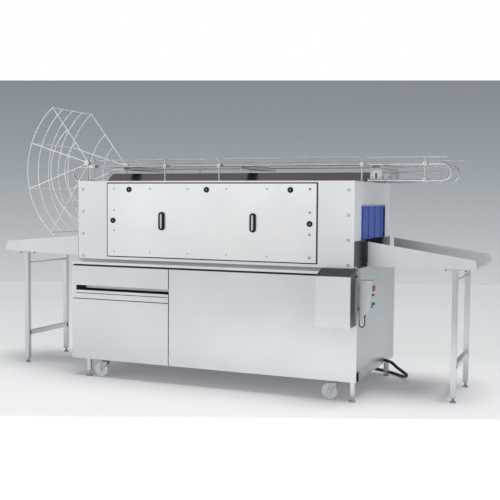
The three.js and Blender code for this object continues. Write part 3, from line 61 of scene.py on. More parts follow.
def make_camera():
    """The camera at the photograph's place, turned by yaw, pitch and roll."""
    yaw, pitch, roll = CAMERA["yaw"], CAMERA["pitch"], CAMERA["roll"]
    forward = Vector((-math.sin(yaw) * math.cos(pitch), math.cos(yaw) * math.cos(pitch), math.sin(pitch)))
    right = Vector((math.cos(yaw), math.sin(yaw), 0.0))
    up = right.cross(forward)
    across = math.cos(roll) * right + math.sin(roll) * up
    above = -math.sin(roll) * right + math.cos(roll) * up
    data = bpy.data.cameras.new("camera")
    data.sensor_fit = "HORIZONTAL"
    data.sensor_width = LENS["sensor"]
    data.lens = LENS["length"]
    data.shift_y = LENS["shift"]
    data.clip_end = 200.0
    camera = bpy.data.objects.new("camera", data)
    turn = Matrix((across, above, -forward)).transposed().to_4x4()
    camera.matrix_world = Matrix.Translation(CAMERA["place"]) @ turn
    bpy.context.scene.collection.objects.link(camera)
    bpy.context.scene.camera = camera


make_camera()


# Mesh helpers

UP = Vector((0.0, 0.0, 1.0))
SMALLEST_RADIUS = 0.02
CREASE = math.radians(40)


def ring_about(centre, side, other, radius, sides):
    """Points of a circle about a centre, in the plane of two directions at right angles."""
    return [centre + radius * (math.cos(angle) * side + math.sin(angle) * other)
            for angle in (2 * math.pi * k / sides for k in range(sides))]


class Shape:
    """The faces of one piece, gathered from simple sweeps, in millimetres."""

    def __init__(self):
        self.corners = []
        self.faces = []

    def loft(self, rings, closed=False):
        """Skin over rings of points that all have the same count, with both ends filled or joined."""
        first = len(self.corners)
        count = len(rings[0])
        for ring in rings:
            self.corners.extend(Vector(point) for point in ring)
        spans = len(rings) if closed else len(rings) - 1
        for row in range(spans):
            low = first + row * count
            high = first + ((row + 1) % len(rings)) * count
            for i in range(count):
                j = (i + 1) % count
                self.faces.append((low + i, low + j, high + j, high + i))
        if not closed:
            last = first + (len(rings) - 1) * count
            self.faces.append(tuple(range(first + count - 1, first - 1, -1)))
            self.faces.append(tuple(range(last, last + count)))
        return self

    def box(self, x0, x1, y0, y1, z0, z1):
        low = [(x0, y0, z0), (x1, y0, z0), (x1, y1, z0), (x0, y1, z0)]
        return self.loft([low, [(x, y, z1) for x, y, _ in low]])

    def plate(self, axis, low, high, outline, holes=()):
        """A flat outline with holes, given in the two other axes in order, and thick along one."""
        loops = [[Vector((u, v, 0.0)) for u, v in loop] for loop in (outline, *holes)]
        flat = [point for loop in loops for point in loop]
        triangles = tessellate_polygon(loops)

        def place(point, depth):
            u, v = point.x, point.y
            return {"x": (depth, u, v), "y": (u, depth, v), "z": (u, v, depth)}[axis]

        first = len(self.corners)
        total = len(flat)
        for depth in (low, high):
            self.corners.extend(Vector(place(point, depth)) for point in flat)
        for a, b, c in triangles:
            self.faces.append((first + c, first + b, first + a))
            self.faces.append((first + total + a, first + total + b, first + total + c))
        start = first
        for loop in loops:
            for i in range(len(loop)):
                j = (i + 1) % len(loop)
                self.faces.append((start + i, start + j, start + j + total, start + i + total))
            start += len(loop)
        return self

    def tube(self, points, radius, sides=16):
        """A round bar along a line of points; the radius may be a list with one for each point."""
        points = [Vector(point) for point in points]
        radii = radius if isinstance(radius, list) else [radius] * len(points)
        last = len(points) - 1
        rings = []
        side = None
        for i, point in enumerate(points):
            way = (points[min(i + 1, last)] - points[max(i - 1, 0)]).normalized()
            if side is None:
                helper = UP if abs(way.z) < 0.9 else Vector((0, 1, 0))
                side = way.cross(helper).normalized()
            else:
                side = (side - way * side.dot(way)).normalized()
            rings.append(ring_about(point, side, way.cross(side), radii[i], sides))
        return self.loft(rings)

    def turned(self, foot, way, profile, sides=32):
        """A turned piece: distances along its axis with the radius at each."""
        foot = Vector(foot)
        way = Vector(way).normalized()
        helper = UP if abs(way.z) < 0.9 else Vector((1, 0, 0))
        side = way.cross(helper).normalized()
        other = way.cross(side)
        return self.loft([ring_about(foot + way * along, side, other, max(radius, SMALLEST_RADIUS), sides)
                          for along, radius in profile])

    def hexagon(self, foot, way, across, height):
        """A hexagon nut or bolt head with a chamfered crown."""
        radius = across / math.sqrt(3)
        return self.turned(foot, way, [(0, radius), (height * 0.85, radius), (height, radius * 0.88)], 6)

    def make(self, name, material, slot, bevel=0.0, segments=2, sharp=32.0, body="machine"):
        """The finished object, which rides on a body and takes the given material; the slot is not used."""
        mesh = bpy.data.meshes.new(name)
        mesh.from_pydata([(corner - ORIGIN) / 1000 for corner in self.corners], [], self.faces)
        work = bmesh.new()
        work.from_mesh(mesh)
        bmesh.ops.recalc_face_normals(work, faces=work.faces)
        work.to_mesh(mesh)
        work.free()
        for face in mesh.polygons:
            face.use_smooth = True
        mesh.set_sharp_from_angle(angle=math.radians(sharp))
        mesh.materials.append(material)
        piece = bpy.data.objects.new(name, mesh)
        bpy.context.scene.collection.objects.link(piece)
        if bevel:
            add_bevel(piece, bevel, segments)
        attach(piece, body)
        return piece


def add_bevel(piece, width, segments):
    """Rounded edges of this width in millimetres, wherever faces meet at more than the crease's angle."""
    bevel = piece.modifiers.new("edges", "BEVEL")
    bevel.width = width / 1000
    bevel.segments = segments
    bevel.limit_method = "ANGLE"
    bevel.angle_limit = CREASE


def arc(u, v, radius, start, sweep, steps):
    """Points of an arc about a middle, from a starting angle through a sweep, both in degrees."""
    angles = [math.radians(start + sweep * step / steps) for step in range(steps + 1)]
    return [(u + radius * math.cos(angle), v + radius * math.sin(angle)) for angle in angles]


def rectangle(u0, u1, v0, v1, radius=0.0):
    """Corners of a rectangle, rounded where a radius is given, anticlockwise."""
    if not radius:
        return [(u0, v0), (u1, v0), (u1, v1), (u0, v1)]
    corners = []
    for cu, cv, start in ((u1 - radius, v0 + radius, -90), (u1 - radius, v1 - radius, 0),
                          (u0 + radius, v1 - radius, 90), (u0 + radius, v0 + radius, 180)):
        corners += arc(cu, cv, radius, start, 90, 5)
    return corners


def curve_through(points, steps):
    """A smooth line through the points, by Catmull-Rom, with this many steps between two of them."""
    points = [Vector(point) for point in points]
    ends = [points[0] * 2 - points[1], *points, points[-1] * 2 - points[-2]]
    line = []
    for i in range(1, len(ends) - 2):
        a, b, c, d = ends[i - 1:i + 3]
        for step in range(steps):
            t = step / steps
            line.append(0.5 * (2 * b + (c - a) * t + (2 * a - 5 * b + 4 * c - d) * t ** 2
                               + (3 * b - a - 3 * c + d) * t ** 3))
    line.append(points[-1])
    return line


# Materials

def tone(red, green, blue):
    """A screen colour from 0 to 255 as the linear colour that a shader takes."""
    def linear(value):
        value /= 255
        return value / 12.92 if value <= 0.04045 else ((value + 0.055) / 1.055) ** 2.4
    return (linear(red), linear(green), linear(blue), 1.0)


def scaled(colour, factor):
    """A colour made lighter or darker, with no channel past 1."""
    return tuple(min(1.0, channel * factor) for channel in colour[:3]) + (1.0,)


def feed(tree, socket, value):
    """Links a socket to another one, or gives it a plain value."""
    if isinstance(value, bpy.types.NodeSocket):
        tree.links.new(value, socket)
    else:
        socket.default_value = value


def dot_product(tree, first, second):
    """How far two directions agree, each of them a socket or a plain vector."""
    node = tree.nodes.new("ShaderNodeVectorMath")
    node.operation = "DOT_PRODUCT"
    feed(tree, node.inputs[0], first)
    feed(tree, node.inputs[1], second)
    return node.outputs["Value"]


class Finish:
    """One node material, built up from noises over the piece's own place."""

    def __init__(self, name, metallic=0.0):
        self.material = bpy.data.materials.new(name)
        self.material.use_nodes = True
        self.tree = self.material.node_tree
        self.shader = self.tree.nodes["Principled BSDF"]
        self.place = self.tree.nodes.new("ShaderNodeTexCoord").outputs["Object"]
        self.set({"Metallic": metallic})

    def set(self, sockets):
        """Values or links for the shader's own sockets."""
        for name, value in sockets.items():
            feed(self.tree, self.shader.inputs[name], value)

    def add(self, kind, sockets):
        """A new node, with values or links for its sockets."""
        node = self.tree.nodes.new(kind)
        for name, value in sockets.items():
            feed(self.tree, node.inputs[name], value)
        return node

    def noise(self, scale, detail, stretch=(1.0, 1.0, 1.0)):
        mapping = self.add("ShaderNodeMapping", {"Vector": self.place, "Scale": stretch})
        return self.add("ShaderNodeTexNoise", {"Vector": mapping.outputs["Vector"], "Scale": scale,
                                               "Detail": detail}).outputs["Fac"]

    def span(self, value, low, high, to_low=0.0, to_high=1.0):
        """A value that runs from low to high, brought to another range."""
        return self.add("ShaderNodeMapRange", {"Value": value, "From Min": low, "From Max": high,
                                               "To Min": to_low, "To Max": to_high}).outputs["Result"]

    def layer(self, base, mask, low, high, share, colour):
        """A colour over the base, by up to this share where the mask runs from low to high."""
        node = self.tree.nodes.new("ShaderNodeMix")
        node.data_type = "RGBA"
        for index, value in ((0, self.span(mask, low, high, 0.0, share)), (6, base), (7, colour)):
            feed(self.tree, node.inputs[index], value)
        return node.outputs[2]

    def scale(self, colour, factor):
        node = self.tree.nodes.new("ShaderNodeVectorMath")
        node.operation = "SCALE"
        feed(self.tree, node.inputs["Vector"], colour)
        feed(self.tree, node.inputs["Scale"], factor)
        return node.outputs["Vector"]

    def edges(self, radius):
        """1 on edges and corners, 0 on flat faces."""
        bevel = self.add("ShaderNodeBevel", {"Radius": radius})
        bevel.samples = 4
        plain = self.tree.nodes.new("ShaderNodeNewGeometry").outputs["Normal"]
        return self.span(dot_product(self.tree, bevel.outputs["Normal"], plain), 0.99, 0.86)

    def finish(self, colour, roughness, height, strength, distance):
        """The material with its colour and roughness, and a bump from this height."""
        bump = self.add("ShaderNodeBump", {"Height": height, "Strength": strength, "Distance": distance})
        self.set({"Base Color": colour, "Roughness": roughness, "Normal": bump.outputs["Normal"]})
        return self.material


def sheet_metal(name, colour, roughness, lines, metallic=0.85):
    """Brushed sheet: fine lines, slow changes of tone, faint smears, and lighter edges that are partly rubbed
    wear and partly a painted highlight.
    """
    made = Finish(name, metallic)
    slow = made.noise(1.3, 2.0)
    smear = made.noise(5.0, 4.0, (1.0, 1.0, 0.35))
    grain = made.noise(60.0, 2.0, lines)
    fine = made.noise(420.0, 2.0)
    base = made.layer(scaled(colour, 0.94), slow, 0.3, 0.7, 1.0, scaled(colour, 1.05))
    base = made.layer(base, grain, 0.3, 0.7, 0.10, scaled(colour, 0.76))
    base = made.layer(base, smear, 0.58, 0.75, 0.10, scaled(colour, 0.8))
    # Lighter edges: partly rubbed wear, partly a painted highlight where the edges catch the light.
    base = made.layer(base, made.edges(0.003), 0.0, 1.0, 0.25, scaled(colour, 1.3))
    rough = made.span(grain, 0.2, 0.8, roughness - 0.04, roughness + 0.05)
    height = made.add("ShaderNodeMath", {0: grain, 1: fine}).outputs[0]
    return made.finish(base, rough, height, 0.012, 0.0003)


def bar_metal(name, colour, roughness, metallic):
    """Drawn or polished bar: faint lines along it, small scratches and dull spots."""
    made = Finish(name, metallic)
    slow = made.noise(7.0, 3.0)
    scratch = made.noise(260.0, 3.0, (1.0, 1.0, 0.2))
    base = made.layer(scaled(colour, 1.03), slow, 0.35, 0.7, 1.0, scaled(colour, 0.9))
    base = made.layer(base, scratch, 0.55, 0.8, 0.2, scaled(colour, 0.6))
    rough = made.span(scratch, 0.2, 0.8, roughness - 0.05, roughness + 0.12)
    return made.finish(base, rough, scratch, 0.05, 0.0003)


def galvanised(name, colour):
    """Zinc coat with its flakes, and dull patches."""
    made = Finish(name, 0.75)
    flakes = made.add("ShaderNodeTexVoronoi", {"Vector": made.place, "Scale": 110.0}).outputs["Color"]
    shade = made.add("ShaderNodeSeparateColor", {"Color": flakes}).outputs[0]
    dull = made.noise(24.0, 4.0)
    base = made.layer(scaled(colour, 1.06), shade, 0.0, 1.0, 0.5, scaled(colour, 0.78))
    base = made.layer(base, dull, 0.5, 0.75, 0.4, scaled(colour, 0.7))
    return made.finish(base, made.span(shade, 0.0, 1.0, 0.32, 0.55), dull, 0.08, 0.0004)


def moulded(name, colour, roughness, grain=900.0, strength=0.12, wear=0.3, coat=0.0, specular=0.5):
    """Moulded plastic or rubber: a fine grain, scuffs, and paler worn edges."""
    made = Finish(name)
    made.set({"Coat Weight": coat, "Specular IOR Level": specular})
    skin = made.noise(grain, 2.0)
    scuff = made.noise(35.0, 5.0)
    slow = made.noise(9.0, 2.0)
    pale = tuple(channel + (0.5 - channel) * 0.18 for channel in colour[:3]) + (1.0,)
    base = made.layer(scaled(colour, 1.04), slow, 0.35, 0.7, 1.0, scaled(colour, 0.9))
    base = made.layer(base, scuff, 0.6, 0.78, 0.35, pale)
    base = made.layer(base, made.edges(0.002), 0.0, 1.0, wear, pale)
    rough = made.span(scuff, 0.3, 0.8, roughness - 0.05, roughness + 0.15)
    return made.finish(base, rough, skin, strength, 0.0004)


def strip_plastic(name, colour):
    """Soft strip, hardly see-through: tinted, with long flow lines and a milky haze."""
    made = Finish(name)
    made.set({"Transmission Weight": 0.02, "Specular IOR Level": 0.2, "IOR": 1.45})
    flow = made.noise(30.0, 3.0, (1.0, 1.0, 0.08))
    haze = made.noise(14.0, 3.0)
    base = made.layer(scaled(colour, 0.86), flow, 0.3, 0.7, 1.0, scaled(colour, 1.2))
    base = made.layer(base, haze, 0.5, 0.8, 0.2, tone(84, 128, 208))
    return made.finish(base, made.span(haze, 0.2, 0.8, 0.18, 0.42), flow, 0.15, 0.0008)


ALONG = (0.05, 12.0, 12.0)
UPRIGHT = (12.0, 12.0, 0.05)

STEEL = sheet_metal("sheet_front", tone(222, 225, 228), 0.30, ALONG, 0.8)
# Painted light: a lighter copy of the front sheet for the wash door.
PAINTED_DOOR_LIGHT = sheet_metal("sheet_door_painted_light", tone(230, 232, 234), 0.30, ALONG, 0.8)
# Painted shade: a darker copy of the front sheet for the lower front panels, service door and drawer.
PAINTED_PANEL_SHADE = sheet_metal("sheet_panel_painted_shade", tone(214, 218, 222), 0.30, ALONG, 0.8)
TABLE = sheet_metal("sheet_table", tone(218, 221, 224), 0.34, ALONG, 0.6)
SIDE = sheet_metal("sheet_side", tone(222, 225, 229), 0.34, UPRIGHT, 0.8)
# Painted shade: a darker copy of the side sheet for the outlet end panel.
PAINTED_END_SHADE = sheet_metal("sheet_end_painted_shade", tone(200, 204, 209), 0.34, UPRIGHT, 0.8)
# Painted light: a lighter and less metallic copy of the side sheet for the hood's outlet end.
PAINTED_MOUTH_LIGHT = sheet_metal("sheet_mouth_painted_light", tone(240, 242, 245), 0.34, UPRIGHT, 0.4)
SHADED = sheet_metal("sheet_shaded", tone(196, 200, 206), 0.34, UPRIGHT)
# Painted dark reflection and shade: a dark copy of the sheet for the aprons, the control box and the apron's
# closing plate.
PAINTED_DARK_REFLECTION = sheet_metal("sheet_painted_dark_reflection", tone(98, 100, 104), 0.30, ALONG)
# Painted reflection: the roof's dark, faintly red tone stands for dark things reflected in it.
PAINTED_ROOF_REFLECTION = sheet_metal("sheet_roof_painted_reflection", tone(92, 86, 90), 0.32, ALONG)
LEG = sheet_metal("leg_tube", tone(206, 209, 213), 0.26, UPRIGHT, 0.9)
BAR = bar_metal("bar_drawn", tone(216, 218, 222), 0.20, 0.85)
WIRE = bar_metal("wire_bright", tone(244, 245, 246), 0.30, 0.3)
ZINC = galvanised("zinc_coat", tone(176, 181, 186))
PLASTIC = moulded("plastic_black", tone(34, 35, 37), 0.6, specular=0.15)
RUBBER = moulded("rubber_black", tone(36, 37, 39), 0.62, 500.0, 0.2)
HOSE = moulded("hose_black", tone(30, 31, 33), 0.42, 300.0, 0.15)
WHITE = moulded("wheel_white_nylon", tone(226, 227, 226), 0.42, 700.0, 0.08)
TYRE = moulded("wheel_tread_grey", tone(196, 198, 198), 0.55, 700.0, 0.15)
RED = moulded("button_red_cap", tone(196, 48, 50), 0.32, strength=0.06, coat=0.3)
BLUE = moulded("button_blue_cap", tone(70, 120, 176), 0.32, strength=0.06, coat=0.3)
PAINT = moulded("motor_enamel", tone(84, 106, 124), 0.34, 160.0, 0.18, 0.4, 0.2)
CURTAIN = strip_plastic("strip_blue", tone(40, 88, 190))

# Cords

HOSE_RADIUS = 13.0
HOSE_ROUTE = [
    (2471.3, 764, 187), (2491, 764, 187), (2540.8, 763.6, 171.5), (2579.8, 767.5, 138.6),
    (2612.5, 790.6, 108.6), (2632.8, 828.1, 81.9), (2641.5, 872.6, 60), (2633.4, 917.8, 40.2),
    (2610.6, 959.9, 25.2), (2580.8, 999.9, 18), (2548.6, 1038.5, 14.6), (2514.8, 1075.6, 13.3),
    (2479.5, 1111.3, 13.3), (2442.1, 1144.8, 13.3), (2402.6, 1175.9, 13.3), (2361, 1204, 13.3),
    (2318, 1228, 13.3), (2274, 1246, 13.3), (2228, 1255, 13.3), (2180, 1252, 13.3), (2135, 1232, 13.3),
    (2098, 1196, 13.3), (2068, 1150, 13.3), (2041, 1098, 13.3), (2017, 1042, 13.3), (2004, 990, 13.3),
    (2000, 950, 13.3), (2000, 918, 13.3),
]
COIL = {"x": 1828.0, "y": 880.0, "outer": 172.0, "pitch": 27.0, "turns": 2, "steps": 24, "lead": 38.0,
        "tuck": 25.0, "z": 13.3}
CABLE_RADIUS = 4.0
CABLE_ROUTE = [
    (2476, -26, 695.7), (2476, -26, 672), (2476, -26, 645), (2476, -26, 617), (2476, -26, 590),
    (2477.4, -25.1, 581.8), (2481.3, -22.6, 574.9), (2487.1, -18.9, 570.2), (2494, -14.5, 568.6),
    (2500.9, -10.1, 570.2), (2506.7, -6.4, 574.9), (2510.6, -3.9, 581.8), (2512, -3, 590), (2512, -3, 612),
    (2512, -3, 634), (2512, -3, 651.7),
]


def coil_points():
    """The stored turns under the cabinet, a flat spiral that winds inwards and ends straight."""
    points = []
    steps = COIL["steps"] * COIL["turns"]
    for step in range(steps + 1):
        turn = step / COIL["steps"]
        radius = COIL["outer"] - COIL["pitch"] * turn
        angle = -turn * 2 * math.pi
        points.append(Vector((COIL["x"] + radius * math.cos(angle), COIL["y"] + radius * math.sin(angle),
                              COIL["z"])))
    tuck = math.radians(COIL["tuck"])
    way = Vector((-math.sin(tuck), -math.cos(tuck), 0.0))
    points.append(points[-1] + way * COIL["lead"])
    return points, way


def cord_curve(name, points, radius, material):
    """A cord on the machine, as a curve of one open spline with a round section."""
    data = bpy.data.curves.new(name, "CURVE")
    data.dimensions = "3D"
    data.bevel_depth = radius / 1000
    data.bevel_resolution = 6
    data.use_fill_caps = True
    spline = data.splines.new("POLY")
    spline.points.add(len(points) - 1)
    for target, point in zip(spline.points, points):
        target.co = (*at(*point), 1.0)
    spline.use_smooth = True
    data.materials.append(material)
    piece = bpy.data.objects.new(name, data)
    bpy.context.scene.collection.objects.link(piece)
    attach(piece, "machine")
    return piece


def make_hose():
    """The drain hose with its stored turns, and the union with its grip ribs on the end."""
    turns, way = coil_points()
    line = curve_through(HOSE_ROUTE[:-1] + turns, 4)
    hose = cord_curve("drain_hose", line, HOSE_RADIUS, HOSE)
    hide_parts("water_hose", "hose_coil")
    rise, ribs, rib_foot, rib_length = 4.0, 6, 11.5, 13.0
    foot = turns[-1] + way * 0.3 + UP * rise
    profile = [(0, 15.2), (1.2, 16.2), (8, 16.2), (9, 14.2), (10.5, 14.2), (11.5, 16.4), (24.5, 16.4),
               (26, 15.4), (26, 9.0), (20, 8.6)]
    shape = Shape().turned(foot, way, profile, 28)
    side = way.cross(UP).normalized()
    for spot in ring_about(foot + way * rib_foot, side, UP, 15.6, ribs):
        shape.tube([spot, spot + way * rib_length], 1.1, 6)
    union = shape.make("hose_end_union", ZINC, "polished_steel", 0.4)
    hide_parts("hose_union")


def make_hose_socket():
    """The flanged socket that the drain hose leaves from, with its four bolts."""
    y, z, bolt_circle = 764.0, 187.0, 21.6
    profile = [(-2, 17.4), (0.4, 26), (3.4, 26), (4.2, 18.6), (5, 17.6), (9.2, 17.6), (9.9, 16.8)]
    socket = Shape().turned((2461, y, z), (1, 0, 0), profile)
    for bolt_y, bolt_z in arc(y, z, bolt_circle, 45, 270, 3):
        socket.hexagon((2464.2, bolt_y, bolt_z), (1, 0, 0), 5, 2)
    socket.make("hose_socket_flange", ZINC, "galvanised_steel", 0.3)


def make_cable():
    """The short cable that leaves the console's gland, sags and goes back into the console's foot."""
    line = curve_through(CABLE_ROUTE, 6)
    cable = cord_curve("control_cable", line, CABLE_RADIUS, PLASTIC)
    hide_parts("console_cable")


make_hose()
make_hose_socket()
make_cable()


# Roof track

RAIL = {"ys": (266.5, 850.5), "radius": 10.0, "top": 1786.0, "low": 1664.0, "left": -166.0,
        "rights": (3016.0, 2977.0), "stub": -24.0, "run": 2438.0, "straight": 40.0}
GUIDE = {"ys": (237.5, 879.5), "z": 1838.0, "radius": 6.0, "tip": 5.0, "left": -8.0,
         "rights": (3050.0, 3079.0)}
POST = {"ys": (225.5, 891.5), "radius": 7.0, "xs": (10.0, 709.1, 1209.05, 2410.0), "foot": 1655.3,
        "top": 1844.0, "hanger": 2892.0, "hangerFoot": 1654.0, "clamp": 11.0}
MIDDLE = 558.5
HUB = {"x": -57.0, "z": 1819.0, "ys": (246.5, 870.5), "foot": 1540.0}


def end_loop(x, y, way):
    """The half circle at one end of a rail, from the lower run up to the upper one."""
    bend = (RAIL["top"] - RAIL["low"]) / 2
    return [(x + way * out, y, z) for out, z in arc(0.0, RAIL["low"] + bend, bend, -90, 180, 16)]


def make_rails():
    """Both rails with their end loops, and a plastic cap in each open end."""
    rails, caps = Shape(), Shape()
    left = RAIL["left"]
    top, low, straight = RAIL["top"], RAIL["low"], RAIL["straight"]
    for y, right in zip(RAIL["ys"], RAIL["rights"]):
        rails.tube([(RAIL["stub"], y, low), (left + straight, y, low), *end_loop(left, y, -1),
                    (left + straight, y, top), (right - straight, y, top), *reversed(end_loop(right, y, 1)),
                    (RAIL["run"], y, low)], RAIL["radius"], 20)
        for x, way in ((RAIL["stub"], 1), (RAIL["run"], -1)):
            caps.turned((x - way * 6, y, low), (way, 0, 0),
                        [(0, 10.2), (6, 10.6), (7.5, 10.2), (8.5, 8.0), (9, 3.0)], 20)
    piece = rails.make("track_tubes", BAR, "polished_steel")
    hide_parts("track_rails")
    caps.make("track_tube_caps", PLASTIC, "black_plastic", 0.0)


def make_guide_rods():
    """Thin rods outside the rails, with chamfered ends, and a short one between the rear rail's runs."""
    rods = Shape()
    left, z, radius, tip = GUIDE["left"], GUIDE["z"], GUIDE["radius"], GUIDE["tip"]
    for y, right in zip(GUIDE["ys"], GUIDE["rights"]):
        rods.tube([(left, y, z), (left + 1.5, y, z), (right - 1.5, y, z), (right, y, z)],
                  [tip, radius, radius, tip], 16)
    rods.tube([(2430, RAIL["ys"][1], 1742), (2885, RAIL["ys"][1], 1742)], radius, 16)
    rods.make("track_guide_rods", BAR, "polished_steel")


def make_ties():
    """Channels from rail to rail, each a web with two flanges and their lips turned inwards."""
    ties = Shape()
    half, foot, top = 40.0, 1754.0, 1782.0
    y0, y1 = RAIL["ys"]
    for x in (320.0, 1425.0, 2511.0):
        ties.box(x - half, x + half, y0, y1, foot, foot + 3)
        for side in (-1, 1):
            edge = x + side * half
            for reach, z in ((3, foot), (15, top - 3)):
                low, high = sorted((edge, edge - side * reach))
                ties.box(low, high, y0, y1, z, top)
    ties.make("track_ties", STEEL, "shaded_steel", 0.6)


def make_gussets():
    """Slotted plates on both rails near the outlet end, with their bolts."""
    gussets, bolts = Shape(), Shape()
    outline = [(2466, 1664), (2556, 1664), (2556, 1743), (2492, 1743), (2466, 1712)]
    for y, side in zip(RAIL["ys"], (-1, 1)):
        gussets.plate("y", y - 2.5, y + 2.5, outline, [rectangle(2504, 2520, 1676, 1722, 5)])
        for x in (2480, 2542):
            bolts.hexagon((x, y + side * 2.4, 1686), (0, side, 0), 11, 5)
    gussets.make("track_gussets", SHADED, "shaded_steel", 0.6)
    bolts.make("track_gusset_bolts", ZINC, "galvanised_steel", 0.4)


def make_posts(name, side, post_y, rail_y, hub_y):
    """The posts on one side of the track with their clamps and nuts, and the cage's upright and bearing."""
    shape, nuts = Shape(), Shape()
    radius, clamp = POST["radius"], POST["clamp"]
    for x, foot in [(x, POST["foot"]) for x in POST["xs"]] + [(POST["hanger"], POST["hangerFoot"])]:
        height = POST["top"] - foot
        shape.turned((x, post_y, foot), UP,
                     [(0, radius), (height - 2, radius), (height - 0.6, 6), (height, 3)], 18)
    for x in POST["xs"]:
        shape.turned((x, post_y, POST["foot"]), UP,
                     [(0, 16), (3.8, 16), (5, 14.6), (5.2, 8.4), (9, 7.4)], 28)
    clamps = [(x, RAIL["top"]) for x in (*POST["xs"], POST["hanger"])] + [(POST["hanger"], RAIL["low"])]
    for x, z in clamps:
        low, high = sorted((post_y + side * clamp, rail_y))
        shape.box(x - 13, x + 13, low, high, z - 12, z + 12)
        nuts.hexagon((x, post_y + side * (clamp - 0.4), z), (0, side, 0), 10, 5)
    height = HUB["z"] - HUB["foot"]
    shape.turned((HUB["x"], post_y, HUB["foot"]), UP, [(0, 6), (1, radius), (height, radius)], 18)
    shape.turned((HUB["x"], post_y - side * 8, HUB["z"]), (0, side, 0),
                 [(0, 7), (7.8, 7), (8, 20), (9.5, 24), (14.5, 24), (16, 22), (16.3, 9), (17.5, 8)])
    shape.turned((HUB["x"], hub_y - side * 8, HUB["z"]), (0, side, 0), [(0, 7), (14, 7)], 18)
    for end, low in ((10.0, 1774), (-0.3, HUB["foot"])):
        shape.box(HUB["x"], end, post_y - 6.5, post_y + 6.5, low, low + 24)
    for x, z in ((HUB["x"] + 12, 1786), (HUB["x"] + 12, 1552), (-12, 1552)):
        nuts.hexagon((x, post_y + side * 6.2, z), (0, side, 0), 10, 5)
    piece = shape.make(f"track_supports_{name}", BAR, "shaded_steel", 0.5)
    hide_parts(f"track_posts_{name}")
    nuts.make(f"track_support_nuts_{name}", ZINC, "galvanised_steel", 0.3)
    disc = Shape().turned((HUB["x"], post_y + side * 16.2, HUB["z"]), (0, side, 0),
                          [(0, 9), (0, 22.6), (1.0, 23.4), (3.2, 23.4), (4.2, 22), (4.6, 12), (3.4, 9)], 36)
    disc.make(f"cage_bearing_cap_{name}", WHITE, "wheel_white")


make_rails()
make_guide_rods()
make_ties()
make_gussets()
for end_name, end_side, *end_ys in zip(("front", "rear"), (-1, 1), POST["ys"], RAIL["ys"], HUB["ys"]):
    make_posts(end_name, end_side, *end_ys)


# Turning cage

CAGE = {"x": 14.0, "z": 1749.0, "radius": 722.0, "tips": (51.5, 20.5, -12.5, -49.5), "end": -53.0,
        "web": (470.0, 322.0), "webEnd": -78.0, "wire": 4.0, "wires": 5, "offset": 312.0}


def cage_point(degrees, y, radius):
    """A place on the cage, by its angle about the cage's middle."""
    angle = math.radians(degrees)
    return Vector((CAGE["x"] - radius * math.cos(angle), y, CAGE["z"] + radius * math.sin(angle)))


def cage_arc(start, end, y, radius):
    """An arc of the cage between two angles."""
    steps = 40
    return [cage_point(start + (end - start) * step / steps, y, radius) for step in range(steps + 1)]


def crossing_angle(radius):
    """The angle at which the upper spoke crosses an arc of this radius, found by halving."""
    hub = Vector((HUB["x"], 0.0, HUB["z"]))
    tip = cage_point(CAGE["tips"][0], 0.0, CAGE["radius"])
    middle = Vector((CAGE["x"], 0.0, CAGE["z"]))
    low, high = 0.0, 1.0
    for _ in range(30):
        share = (low + high) / 2
        if (hub.lerp(tip, share) - middle).length < radius:
            low = share
        else:
            high = share
    place = hub.lerp(tip, low)
    return math.degrees(math.atan2(place.z - CAGE["z"], CAGE["x"] - place.x))


def make_cage():
    """The cage's arcs with their cross wires, side webs and beads on the crossings, and both hub discs."""
    wires, beads = Shape(), Shape()
    wire, radius, tips = CAGE["wire"], CAGE["radius"], CAGE["tips"]
    inner = radius - wire
    low, high = MIDDLE - CAGE["offset"], MIDDLE + CAGE["offset"]
    ys = [low + (high - low) * place / (CAGE["wires"] - 1) for place in range(CAGE["wires"])]
    for y in ys:
        wires.tube(cage_arc(tips[0], CAGE["end"], y, radius), wire, 12)
    for degrees in tips:
        wires.tube([cage_point(degrees, low, inner), cage_point(degrees, high, inner)], wire, 12)
        for y in ys:
            beads.turned(cage_point(degrees, y - 6, inner + 2), (0, 1, 0),
                         [(0, 0.5), (1, 3.4), (3, 5.4), (6, 6.2), (9, 5.4), (11, 3.4), (12, 0.5)], 14)
    spokes = [(degrees, radius) for degrees in tips] + [(CAGE["webEnd"], CAGE["web"][0])]
    for y, side in ((low, -1), (high, 1)):
        hub = Vector((HUB["x"], y, HUB["z"]))
        for degrees, reach in spokes:
            wires.tube([hub, cage_point(degrees, y, reach)], wire, 12)
        for reach in CAGE["web"]:
            wires.tube(cage_arc(crossing_angle(reach), CAGE["webEnd"], y, reach), wire, 12)
        beads.turned(hub - Vector((0, 4 * side, 0)), (0, side, 0),
                     [(0, 8), (0, 20.8), (1.2, 22), (6.8, 22), (8, 20.8), (8, 8)], 36)
    piece = wires.make("cage_wires", WIRE, "polished_steel", body="turning_cage")
    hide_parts("turning_cage")
    beads.make("cage_hubs", WIRE, "polished_steel", body="turning_cage")


make_cage()


# Feed tables' legs

def add_thread(shape, x, y, z, turns, crest):
    """Rings that stand for the turns of a levelling foot's thread."""
    for turn in range(turns):
        shape.turned((x, y, z + turn * 3), UP, [(0, 8), (0.9, crest), (1.8, 8)], 24)


